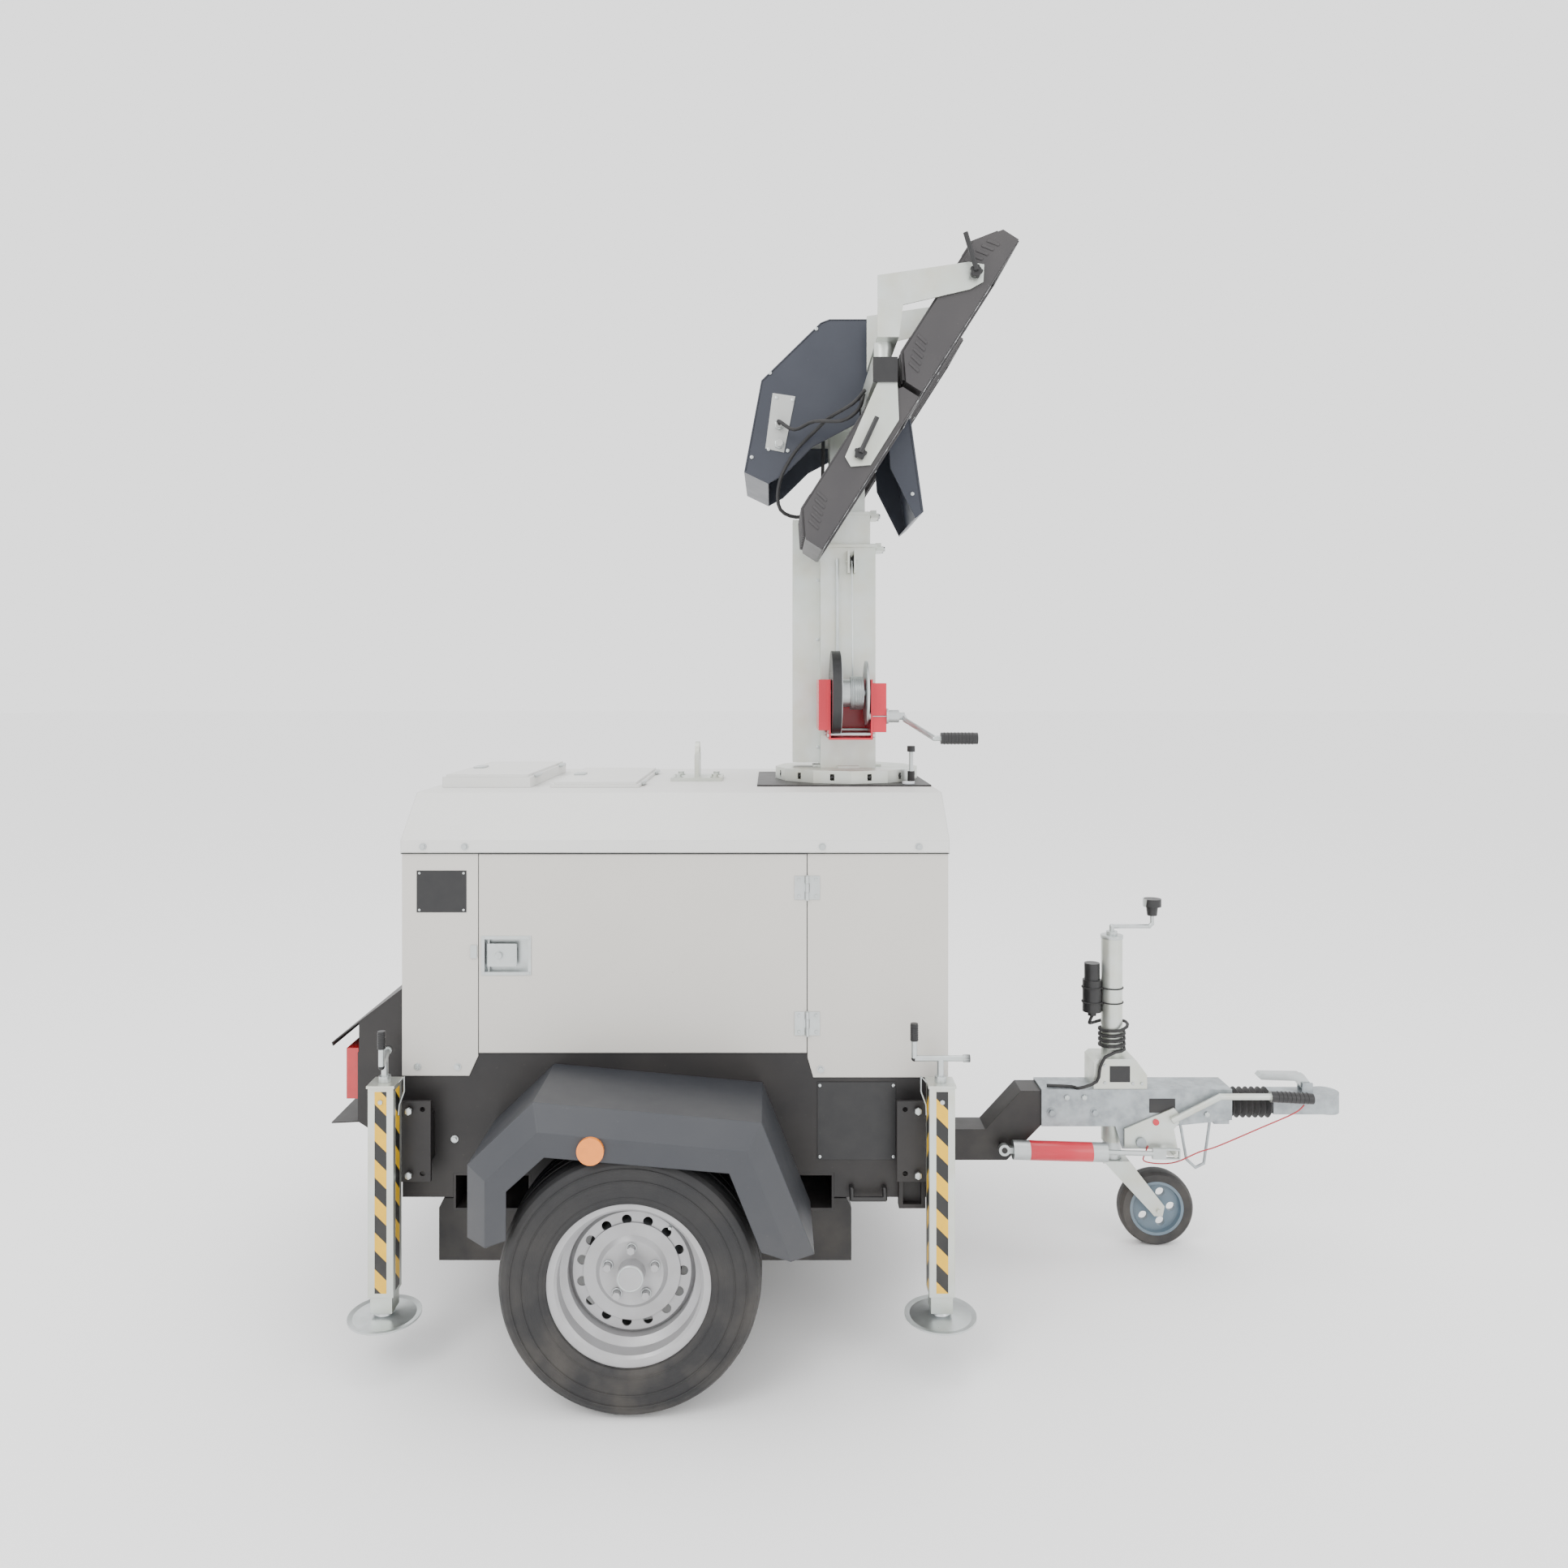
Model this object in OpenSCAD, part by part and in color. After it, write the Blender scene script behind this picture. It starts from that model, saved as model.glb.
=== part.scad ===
// Mobile lighting tower: a single-axle road trailer that carries a generator
// canopy, four stabilisers and a hand-wound telescopic mast with four lamps.
// +X points to the hitch, +Y to the left-hand side and +Z up. The origin lies
// on the ground under the middle of the trailer. Modules are written in the
// axle's frame, with X measured forward from the axle, and at_axle() places them.

/* [Wheels] */
// Outer diameter of the road tyre
wheel_d = 589; // [480:1:600]
// Section width of the road tyre
tyre_w = 185; // [145:5:205]
// Diameter over the rim flange
rim_d = 365; // [300:1:380]
// Distance between the middles of the two road wheels
track = 1424; // [1380:2:1700]

/* [Body] */
// Length of the canopy
body_len = 1336; // [1240:2:1700]
// Width of the canopy
body_w = 1040; // [900:2:1056]
// From the axle back to the canopy's rear face
rear_overhang = 588; // [560:2:760]
// Lower edge of the chassis skirt above the ground
skirt_bottom = 366; // [340:2:400]
// Top of the chassis skirt, where the doors begin
skirt_top = 718; // [700:2:800]
// Lower edge of the canopy's corner panels
panel_bottom = 660; // [620:2:690]
// Height where the roof starts to slope
roof_edge = 1240; // [1150:5:1500]
// Height of the flat roof
roof_top = 1345; // [1280:5:1640]
// How far each side of the roof slopes inwards
roof_slope = 127; // [80:1:180]
// Thickness of the canopy's sheet steel
sheet = 3; // [2:0.5:4]
// Thickness of the chassis plates
plate = 4; // [3:0.5:6]

/* [Doors] */
// From the axle back to the doors' rear edge
door_back = 400; // [340:2:420]
// Width of each door
door_len = 802; // [700:2:810]
// Depth of each door's folded tray
door_depth = 25; // [18:1:30]

/* [Fork pockets] */
// Width of each fork pocket
pocket_w = 190; // [160:2:200]
// Height of each fork pocket
pocket_h = 92; // [80:2:100]
// Distance between the fork pockets' middles
pocket_pitch = 742; // [700:2:800]
// Wall of each fork pocket
pocket_wall = 6; // [4:1:8]

/* [Stabilisers] */
// Width of the square outer tube
leg_outer = 60; // [50:1:70]
// Wall of the stabilisers' tubes
leg_wall = 4; // [3:0.5:5]
// Running gap between inner and outer tube
leg_gap = 0.4; // [0.3:0.1:0.8]
// From the canopy's side to the stabilisers' axis
leg_reach = 80; // [74:1:100]
// Height of the outer tube's top
leg_top = 672; // [640:2:700]
// Height of the outer tube's lower end
leg_bottom = 180; // [170:2:220]
// Height of the feet above the ground when wound up
foot_z = 120; // [90:2:140]
// Diameter of the feet
foot_d = 170; // [140:2:200]

/* [Mast] */
// From the canopy's front face back to the mast's axis
mast_setback = 215; // [200:1:260]
// Width of the outer mast section
mast_1_w = 156; // [150:1:170]
// Width of the middle mast section
mast_2_w = 128; // [120:1:132]
// Width of the inner mast section
mast_3_w = 100; // [84:1:104]
// Wall of the mast sections
mast_wall = 4; // [3:0.5:5]
// Height of the outer section's top
mast_1_top = 2019; // [1960:1:2100]
// How far the middle section stands out of the outer one
mast_2_rise = 93; // [80:1:140]
// Height of the plate on the inner section's top
mast_3_top = 2351; // [2330:1:2500]
// Radius of the slewing turntable
turntable_r = 205; // [190:1:212]

/* [Lamps] */
// Length of each lamp
lamp_len = 438; // [380:2:440]
// Width of each lamp
lamp_w = 300; // [260:2:340]
// Thickness of each lamp over its cooling ribs
lamp_t = 90; // [70:1:96]
// Tilt of the lamps from level
lamp_tilt = 57.5; // [55:0.5:60]
// Half the length of the crossbar
bar_half = 556; // [520:2:620]
// Width of the square crossbar
bar_w = 60; // [50:1:62]

/* [Hitch] */
// Width and height of the drawbar's square tube
drawbar_w = 90; // [80:1:100]
// Height of the drawbar's lower face
drawbar_z = 258; // [240:1:266]
// From the canopy's front to the overrun housing
drawbar_len = 340; // [320:5:600]
// Length of the overrun housing
housing_len = 545; // [540:5:640]
// Radius of the overrun shaft
shaft_r = 25; // [20:0.5:27]
// Length of the coupling's rubber bellows
bellows_len = 126; // [120:1:160]
// Length of the coupling head
coupling_len = 201; // [190:1:240]
// Radius of the coupling's ball socket
socket_r = 25.2; // [25:0.1:26]

/* [Jockey wheel] */
// Diameter of the jockey wheel
jockey_d = 215; // [180:1:220]
// Radius of the jockey wheel's outer tube
jockey_tube_r = 30; // [28:0.5:32]
// Height of the jockey tube's top
jockey_top = 892; // [840:2:960]
// How far the jockey wheel trails its tube
jockey_trail = 124; // [100:1:130]

/* [Hidden] */
$fn = 48;

// Gaps: seat is left between faces that only rest on each other, fit is the
// radial running gap of a pin in its bore.
seat = 0.3;
fit = 0.05;
over = 1;

// Levels and stations that follow from the driving sizes, in the axle's frame.
wheel_r = wheel_d / 2;
body_back = -rear_overhang;
body_front = body_len - rear_overhang;
half_w = body_w / 2;
skirt_y = half_w - sheet;
floor_z = pocket_top() + plate;
door_x0 = -door_back;
door_x1 = door_len - door_back;
door_gap = 2;
door_top = roof_edge - 34;
belt_h = 30;
roof_flat = half_w - roof_slope;
mast_x = body_front - mast_setback;
mast_foot = floor_z + 20;
mast_2_top = mast_1_top + mast_2_rise;
leg_y = half_w + leg_reach;
leg_front_x = body_front - 31;
leg_rear_x = body_back - 15;
leg_inner = leg_outer - 2 * leg_wall - 2 * leg_gap;
screw_r = 8;
tail_depth = 188;
housing_x = body_front + drawbar_len;
housing_end = housing_x + housing_len;
housing_half = drawbar_w / 2 + 6;
housing_top = 462;
jockey_x = housing_x + 216;
jockey_r = jockey_d / 2;
shaft_z = 408;
head_x = housing_end + bellows_len;
front_reach = head_x + coupling_len;
rear_reach = rear_overhang + tail_depth;
axle_x = (rear_reach - front_reach) / 2;
bar_x = mast_x + 57;
bar_bottom = mast_3_top;
bar_top = bar_bottom + bar_w;
ring_top = roof_top + 39;

function pocket_top() = skirt_bottom + 59;

// ---------------------------------------------------------------- helpers

module at_axle() {
    translate([axle_x, 0, 0]) children();
}

module box(lo, hi) {
    translate(lo) cube(hi - lo);
}

module both_sides() {
    children();
    mirror([0, 1, 0]) children();
}

// Closed box of wall t.
module shell_box(lo, hi, t) {
    difference() {
        box(lo, hi);
        box(lo + [t, t, t], hi - [t, t, t]);
    }
}

// Round bar between two points.
module rod(a, b, r) {
    d = b - a;
    translate(a)
        rotate([0, acos(d[2] / norm(d)), atan2(d[1], d[0])])
            cylinder(r = r, h = norm(d));
}

// Round bar along a list of points, with a ball at each bend.
module bent_rod(points, r) {
    for (i = [0 : len(points) - 2]) rod(points[i], points[i + 1], r);
    for (i = [1 : len(points) - 2]) translate(points[i]) sphere(r = r * 1.03);
}

module ring(r_out, r_in, h) {
    difference() {
        cylinder(r = r_out, h = h);
        translate([0, 0, -over]) cylinder(r = r_in, h = h + 2 * over);
    }
}

// Turns a shape made along +Z so that it runs along +Y, from y.
module along_y(x, y, z) {
    translate([x, y, z]) rotate([-90, 0, 0]) children();
}

// Turns a shape made along +Z so that it runs along +X, from x.
module along_x(x, y, z) {
    translate([x, y, z]) rotate([0, 90, 0]) children();
}

// Plate with an outline in X and Z, from y0 to y1.
module plate_xz(points, y0, y1) {
    translate([0, y1, 0])
        rotate([90, 0, 0])
            linear_extrude(y1 - y0)
                polygon(points);
}

// Flat link in X and Z with round ends, from y0 to y1.
module link_xz(a, b, r, y0, y1) {
    d = b - a;
    for (p = [a, b]) along_y(p[0], y0, p[1]) cylinder(r = r, h = y1 - y0);
    translate([a[0], y0, a[1]])
        rotate([0, -atan2(d[1], d[0]), 0])
            translate([0, 0, -r])
                cube([norm(d), y1 - y0, 2 * r]);
}

// Square tube standing on z0, centred on x and y.
module square_tube(x, y, w, wall, z0, z1) {
    difference() {
        box([x - w / 2, y - w / 2, z0], [x + w / 2, y + w / 2, z1]);
        box([x - w / 2 + wall, y - w / 2 + wall, z0 - over],
            [x + w / 2 - wall, y + w / 2 - wall, z1 + over]);
    }
}

function unit(v) = v / norm(v);

function reversed(list) = [for (i = [len(list) - 1 : -1 : 0]) list[i]];

// Left-hand normal of the segment that starts at point i.
function side_normal(p, i) = let (d = unit(p[i + 1] - p[i])) [-d[1], d[0]];

// A polyline moved to its right by t, with mitred corners.
function moved_path(p, t) = [
    for (i = [0 : len(p) - 1])
        let (a = side_normal(p, max(i - 1, 0)))
        let (b = side_normal(p, min(i, len(p) - 2)))
        p[i] - t * (a + b) / (1 + a * b)
];

// Folded sheet of thickness t along a path in X and Z.
module folded_sheet(path, t, y0, y1) {
    plate_xz(concat(path, reversed(moved_path(path, t))), y0, y1);
}

// Catmull-Rom curve through the points, n steps to a span.
function spline_at(p, i, u) =
    let (a = p[max(i - 1, 0)])
    let (b = p[i])
    let (c = p[i + 1])
    let (d = p[min(i + 2, len(p) - 1)])
    0.5 * (2 * b + (c - a) * u + (2 * a - 5 * b + 4 * c - d) * u * u
        + (3 * b - a - 3 * c + d) * u * u * u);

function smooth_route(p, n) = concat(
    [for (i = [0 : len(p) - 2], k = [0 : n - 1]) spline_at(p, i, k / n)],
    [p[len(p) - 1]]
);

function route_tangents(q) = [
    for (i = [0 : len(q) - 1])
        unit(q[min(i + 1, len(q) - 1)] - q[max(i - 1, 0)])
];

function carried_normals(t, n, i) = i == len(t) ? [] :
    let (m = unit(n - (n * t[i]) * t[i]))
    concat([m], carried_normals(t, m, i + 1));

// Tube of radius r swept along the points q; start is any direction that the
// first stretch doesn't follow.
module swept_cord(q, r, start, sides = 8) {
    t = route_tangents(q);
    n = carried_normals(t, start, 0);
    last = (len(q) - 1) * sides;
    points = [
        for (i = [0 : len(q) - 1], k = [0 : sides - 1])
            q[i] + r * (cos(360 * k / sides) * n[i]
                + sin(360 * k / sides) * cross(t[i], n[i]))
    ];
    walls = [
        for (i = [0 : len(q) - 2], k = [0 : sides - 1])
            let (a = i * sides + k)
            let (b = i * sides + (k + 1) % sides)
            each [[b, a, a + sides], [b, a + sides, b + sides]]
    ];
    caps = [
        [for (k = [0 : sides - 1]) k],
        [for (k = [sides - 1 : -1 : 0]) last + k]
    ];
    polyhedron(points = points, faces = concat(walls, caps), convexity = 10);
}

// Hexagon bolt head with its washer, on a face whose outward normal is +Z.
module bolt_head(r = 6) {
    cylinder(r = r * 1.5, h = 1.5);
    translate([0, 0, 1.5]) cylinder(r = r, h = r * 0.8, $fn = 6);
}

// Bolt heads on the right-hand side's outer face at y.
module side_bolts(places, y, r = 6) {
    for (p = places) translate([p[0], -y, p[1]]) rotate([90, 0, 0]) bolt_head(r);
}

// ---------------------------------------------------------------- chassis

bush_r = 34;
spigot_r = 20;

module skirt_side() {
    difference() {
        plate_xz([
            [body_back, skirt_bottom], [body_front, skirt_bottom],
            [body_front, skirt_top], [body_back, skirt_top]
        ], -skirt_y, plate - skirt_y);
        for (s = [-1, 1])
            box([pocket_mid(s) - pocket_w / 2, -skirt_y - over, skirt_bottom - over],
                [pocket_mid(s) + pocket_w / 2, plate - skirt_y + over, pocket_top()]);
    }
}

// The small square socket in front of the front fork pocket.
module skirt_socket() {
    x1 = body_front - 59;
    difference() {
        box([x1 - 64, -skirt_y - 28, skirt_bottom - 15], [x1, -skirt_y, skirt_bottom + 73]);
        box([x1 - 54, -skirt_y - 28 - over, skirt_bottom - 5],
            [x1 - 10, -skirt_y - 8, skirt_bottom + 63]);
    }
}

module ballast_box(s) {
    x0 = pocket_mid(s) - 143 + 7 * s;
    x1 = x0 + 278;
    z1 = pocket_top() - pocket_h;
    z0 = z1 - 156;
    t = 2 * plate;
    difference() {
        plate_xz([[x0, z0], [x1, z0], [x1, z1 - 24], [x1 - 12, z1], [x0 + 12, z1], [x0, z1 - 24]],
            70 - half_w, half_w - 70);
        box([x0 + t, 70 - half_w + t, z0 + t], [x1 - t, half_w - 70 - t, z1 - 24]);
    }
}

function pocket_mid(s) = 3 + s * pocket_pitch / 2;

module chassis_frame() {
    color("#211f1f") {
        both_sides() {
            skirt_side();
            skirt_socket();
        }
        box([body_back, plate - skirt_y, skirt_bottom],
            [body_back + plate, skirt_y - plate, skirt_top]);
        box([body_front - plate, plate - skirt_y, skirt_bottom],
            [body_front, skirt_y - plate, skirt_top]);
        box([body_back + plate, plate - skirt_y, pocket_top()],
            [body_front - plate, skirt_y - plate, floor_z]);
        for (span = [
            [body_back + plate, pocket_mid(-1) - pocket_w / 2],
            [pocket_mid(-1) + pocket_w / 2, pocket_mid(1) - pocket_w / 2],
            [pocket_mid(1) + pocket_w / 2, body_front - plate]
        ])
            box([span[0], plate - skirt_y, skirt_bottom],
                [span[1], skirt_y - plate, skirt_bottom + plate]);
        translate([mast_x, 0, floor_z]) ring(bush_r, spigot_r + fit, 19);
    }
    color("#1b1b1c") for (s = [-1, 1]) ballast_box(s);
}

module fork_pockets() {
    color("#1d1c1d") for (s = [-1, 1]) difference() {
        box([pocket_mid(s) - pocket_w / 2, -skirt_y, pocket_top() - pocket_h],
            [pocket_mid(s) + pocket_w / 2, skirt_y, pocket_top()]);
        box([pocket_mid(s) - pocket_w / 2 + pocket_wall, -skirt_y - over,
             pocket_top() - pocket_h + pocket_wall],
            [pocket_mid(s) + pocket_w / 2 - pocket_wall, skirt_y + over,
             pocket_top() - pocket_wall]);
    }
}

// ---------------------------------------------------------------- running gear

stub_r = 17.5;
beam_w = 70;
beam_x = 105;
wheel_y = track / 2;
wheel_in = wheel_y - tyre_w / 2;
arm_y = wheel_in - 58;
drum_r = 110;

module axle_beam() {
    color("#3a3b3d") {
        difference() {
            box([beam_x, -arm_y, skirt_bottom - beam_w], [beam_x + beam_w, arm_y, skirt_bottom]);
            box([beam_x + 6, -arm_y + 6, skirt_bottom - beam_w + 6],
                [beam_x + beam_w - 6, arm_y - 6, skirt_bottom - 6]);
        }
        both_sides() {
            link_xz([beam_x + beam_w / 2, skirt_bottom - beam_w / 2], [0, wheel_r], 32,
                -arm_y - 22, -arm_y);
            along_y(0, -arm_y - 30, wheel_r) cylinder(r = drum_r - 4, h = 8);
            along_y(0, -wheel_y - 26, wheel_r) cylinder(r = stub_r, h = wheel_y + 26 - arm_y);
        }
    }
}

// Half section of the tyre: a rounded ring with four grooves round its tread.
bead_r = rim_d / 2 - 15;
tread_flat = 0.36;

function tyre_outline() = [
    for (a = [0 : 15 : 345])
        let (c = cos(a))
        let (s = sin(a))
        let (mid = (wheel_r + bead_r) / 2)
        let (half = (wheel_r - bead_r) / 2)
        [mid + half * sign(c) * pow(abs(c), tread_flat),
         tyre_w / 2 * sign(s) * pow(abs(s), 0.55)]
];

module tyre() {
    difference() {
        rotate_extrude($fn = 96) polygon(tyre_outline());
        for (y = [-48, -17, 17, 48])
            translate([0, 0, y - 4]) ring(wheel_r + over, wheel_r - 8, 8);
        ring_cut = rim_d / 2 + seat;
        for (m = [0, 1]) mirror([0, 0, m])
            translate([0, 0, tyre_w / 2 - 26]) cylinder(r = ring_cut, h = 40);
        translate([0, 0, -tyre_w]) cylinder(r = bead_r + seat, h = 2 * tyre_w);
    }
}

// Section of the pressed steel rim, outer flange at positive Y.
function rim_outline() = let (f = rim_d / 2) let (e = tyre_w / 2 - 14) [
    [f, e], [f, e - 5], [f - 12, e - 9], [bead_r - 3, e - 12], [bead_r - 3, e - 40],
    [f - 34, e - 52], [f - 34, 44 - e], [bead_r - 3, 32 - e], [bead_r - 3, 10 - e],
    [f - 12, 8 - e], [f, 5 - e], [f, -e], [f - 16, 4 - e],
    [bead_r - 7, 8 - e], [bead_r - 7, 34 - e], [f - 38, 46 - e], [f - 38, e - 54],
    [bead_r - 7, e - 42], [bead_r - 7, e - 10], [f - 16, e - 4]
];

vent_count = 15;
bolt_pcd = 112;
vent_ring = 116;

module rim() {
    hub_out = 26;
    rotate_extrude($fn = 96) polygon(rim_outline());
    difference() {
        rotate_extrude($fn = 96) polygon([
            [stub_r + fit, hub_out - 4], [36, hub_out - 4], [72, hub_out],
            [86, hub_out - 12], [134, hub_out - 12], [rim_d / 2 - 38, hub_out - 26],
            [rim_d / 2 - 38, hub_out - 30], [132, hub_out - 16], [84, hub_out - 16],
            [70, hub_out - 4], [36, hub_out - 8], [stub_r + fit, hub_out - 8]
        ]);
        for (a = [0 : 360 / vent_count : 359]) rotate(a)
            translate([vent_ring, 0, 0]) cylinder(r = 11, h = 60, $fn = 24);
    }
    translate([0, 0, hub_out - 4 + seat]) difference() {
        cylinder(r = 31, h = 30);
        translate([0, 0, -over]) cylinder(r = stub_r + fit, h = 12);
    }
    translate([0, 0, hub_out - 8 - seat - 80]) ring(drum_r, stub_r + fit, 80);
    for (a = [0 : 72 : 359]) rotate(a + 18)
        translate([bolt_pcd / 2, 0, hub_out - 1]) cylinder(r = 9.5, h = 16, $fn = 6);
}

// Places a wheel part, made with its outer face at +Z, on the right-hand side.
module on_right_hub() {
    translate([0, -wheel_y, wheel_r]) rotate([90, 0, 0]) children();
}

module tyre_right() {
    color("#232326") on_right_hub() tyre();
}

module tyre_left() {
    mirror([0, 1, 0]) tyre_right();
}

module rim_right() {
    color("#a9aaad") on_right_hub() rim();
}

module rim_left() {
    mirror([0, 1, 0]) rim_right();
}

// ---------------------------------------------------------------- mudguards

// Stations of the guard from back to front, in wheel radii from the hub.
guard_crease = [[-1.226, 0.331], [-1.226, 0.881], [-0.730, 1.353], [0.998, 1.197], [1.396, 0.205]];
guard_fold = [[-1.059, 0.321], [-1.059, 0.817], [-0.669, 1.177], [0.890, 1.034], [1.216, 0.219]];
guard_lip = [[-0.900, 0.375], [-0.900, 0.739], [-0.618, 0.993], [0.757, 0.874], [0.995, 0.287]];
guard_out = wheel_y + tyre_w / 2 + 10.5;
guard_t = 2.5;

function guard_point(p, inset, y) =
    let (q = p * wheel_r * (1 - inset / (norm(p) * wheel_r)))
    [q[0], -y, q[1] + wheel_r];

function guard_skin(inset) = [
    for (i = [0 : len(guard_crease) - 1]) each [
        guard_point(guard_crease[i], inset * 1.2, skirt_y),
        guard_point(guard_crease[i], inset * 1.2, guard_out - 42),
        guard_point(guard_fold[i], inset * 1.2, guard_out - inset),
        guard_point(guard_lip[i], 0, guard_out - inset)
    ]
];

function quad(a, b, c, d) = [[a, b, c], [a, c, d]];

module mudguard_right() {
    rows = len(guard_crease);
    cols = 4;
    n = rows * cols;
    outer = [for (i = [0 : rows - 2], j = [0 : cols - 2]) let (a = i * cols + j)
        each quad(a, a + cols, a + cols + 1, a + 1)];
    inner = [for (i = [0 : rows - 2], j = [0 : cols - 2]) let (a = n + i * cols + j)
        each quad(a, a + 1, a + cols + 1, a + cols)];
    long_edges = [for (i = [0 : rows - 2]) let (a = i * cols) let (b = i * cols + cols - 1)
        each concat(quad(a + cols, a, n + a, n + a + cols),
            quad(b, b + cols, n + b + cols, n + b))];
    ends = [for (j = [0 : cols - 2]) let (b = n - cols + j)
        each concat(quad(j, j + 1, n + j + 1, n + j),
            quad(b + 1, b, n + b, n + b + 1))];
    polyhedron(
        points = concat(guard_skin(0), guard_skin(guard_t)),
        faces = concat(outer, inner, long_edges, ends),
        convexity = 6
    );
}

module mudguards() {
    color("#45474a") both_sides() mudguard_right();
}

// ---------------------------------------------------------------- tail

module tail_cover() {
    half = half_w - 40;
    lip_x = body_back - tail_depth;
    color("#1f1e1f") {
        folded_sheet([
            [body_back - 2, skirt_top + 157], [lip_x, skirt_top + 15], [lip_x + 3, skirt_top + 6]
        ], -sheet, -half, half);
        box([body_back - 123, -half, skirt_top - 183], [body_back - 120, half, skirt_top - 10]);
        folded_sheet([[body_back - 123, skirt_top - 180], [lip_x, skirt_top - 183]], -sheet,
            -half, half);
        for (y = [-half, half - sheet])
            plate_xz([
                [body_back, skirt_top + 155], [body_back - 120, skirt_top + 63],
                [body_back - 120, skirt_top - 183], [body_back, skirt_top - 260]
            ], y, y + sheet);
    }
}

module marker_lights() {
    y1 = half_w - 46;
    x1 = body_back - 123;
    color("#c3141c") both_sides()
        box([x1 - 30, -y1, skirt_top - 127], [x1, 102 - y1, skirt_top - 1]);
    color("#e8870e") both_sides()
        along_y(-0.272 * wheel_r, -guard_out - 9, 2.047 * wheel_r) cylinder(r = 30, h = 9);
}

// ---------------------------------------------------------------- canopy

panel_top = roof_edge - 8;

module corner_panel(x0, x1, z0, cut_x, cut_dir) {
    points = cut_dir > 0
        ? [[x0, z0], [x1 - cut_x, z0], [x1, z0 + 48], [x1, panel_top], [x0, panel_top]]
        : [[x0, z0 + 48], [x0 + cut_x, z0], [x1, z0], [x1, panel_top], [x0, panel_top]];
    plate_xz(points, -half_w, -skirt_y);
}

module canopy_panels() {
    color("#d6d4cf") {
        both_sides() {
            corner_panel(body_back, door_x0 - door_gap, panel_bottom + 4, 22, 1);
            corner_panel(door_x1 + door_gap, body_front, panel_bottom, 14, -1);
        }
        box([body_back, -skirt_y, skirt_top], [body_back + sheet, skirt_y, panel_top]);
        box([body_front - sheet, -skirt_y, skirt_top], [body_front, skirt_y, panel_top]);
    }
}

function roof_section(inset) = let (k = inset * 0.8) [
    [-half_w - sheet + inset, roof_edge - belt_h - 2 * inset],
    [-half_w - sheet + inset, roof_edge - k],
    [-roof_flat + k, roof_top - inset],
    [roof_flat - k, roof_top - inset],
    [half_w + sheet - inset, roof_edge - k],
    [half_w + sheet - inset, roof_edge - belt_h - 2 * inset]
];

// The slew lock pin stands beside the turntable, in a guide on the base plate.
lock_pin_r = 6;

module at_lock_pin() {
    translate([mast_x, 0, 0]) rotate(-38) translate([turntable_r + 13, 0, 0]) children();
}

// Lid of a roof hatch, rear one taller than the front one.
module roof_hatch(x0, x1, h) {
    box([x0, -262, roof_top + seat], [x1, 262, roof_top + h - 6]);
    box([x0 + 8, -254, roof_top + h - 6], [x1 - 8, 254, roof_top + h]);
}

module canopy_roof() {
    color("#ecebe8") {
        difference() {
            along_x(body_back - sheet, 0, 0) rotate(90)
                linear_extrude(body_len + 2 * sheet) polygon(roof_section(0));
            along_x(body_back, 0, 0) rotate(90)
                linear_extrude(body_len) polygon(roof_section(sheet));
            translate([mast_x, 0, roof_top - 20]) cylinder(r = mast_1_w * 0.81, h = 40);
        }
        roof_hatch(body_back + 24, body_back + 260, 34);
        roof_hatch(body_back + 313, body_back + 551, 14);
    }
    color("#2a2a2b") {
        difference() {
            box([mast_x - 256, -230, roof_top + seat], [body_front, 230, roof_top + 4]);
            translate([mast_x, 0, roof_top - over]) cylinder(r = mast_1_w * 0.81, h = 8);
        }
        at_lock_pin() translate([0, 0, roof_top + 4]) ring(10, lock_pin_r + fit, 30);
    }
}

// Lifting eye over the centre of gravity, with the frame that carries it.
eye_x = 102;
eye_r = 20;
eye_top = roof_top + 110;

module lifting_eye() {
    color("#cdd0cc") {
        difference() {
            union() {
                box([eye_x - 6, -55, roof_top + 10], [eye_x + 6, 55, eye_top - 35]);
                along_x(eye_x - 6, 0, eye_top - 35) cylinder(r = 35, h = 12);
                box([eye_x - 73, -70, roof_top], [eye_x + 73, 70, roof_top + 10]);
            }
            along_x(eye_x - 8, 0, eye_top - 35) cylinder(r = eye_r, h = 16);
        }
        for (dx = [-52, 52], dy = [-48, 48])
            translate([eye_x + dx, dy, roof_top + 10 + seat]) bolt_head(9);
    }
    color("#3a3b3d") {
        both_sides()
            box([eye_x - 25, -345, floor_z], [eye_x + 25, -295, roof_top - sheet - 50]);
        box([eye_x - 25, -345, roof_top - sheet - 50], [eye_x + 25, 345, roof_top - sheet]);
    }
}

// Hinges: the pins stand just outside the panel joint at the doors' front edge.
hinge_x = door_x1 + door_gap / 2;
hinge_r = 4.7;
hinge_y = half_w + hinge_r + 0.3;
hinge_pin_r = 2.5;
hinge_h = 58;
hinge_levels = [skirt_top + 45, door_top - 111];

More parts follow.
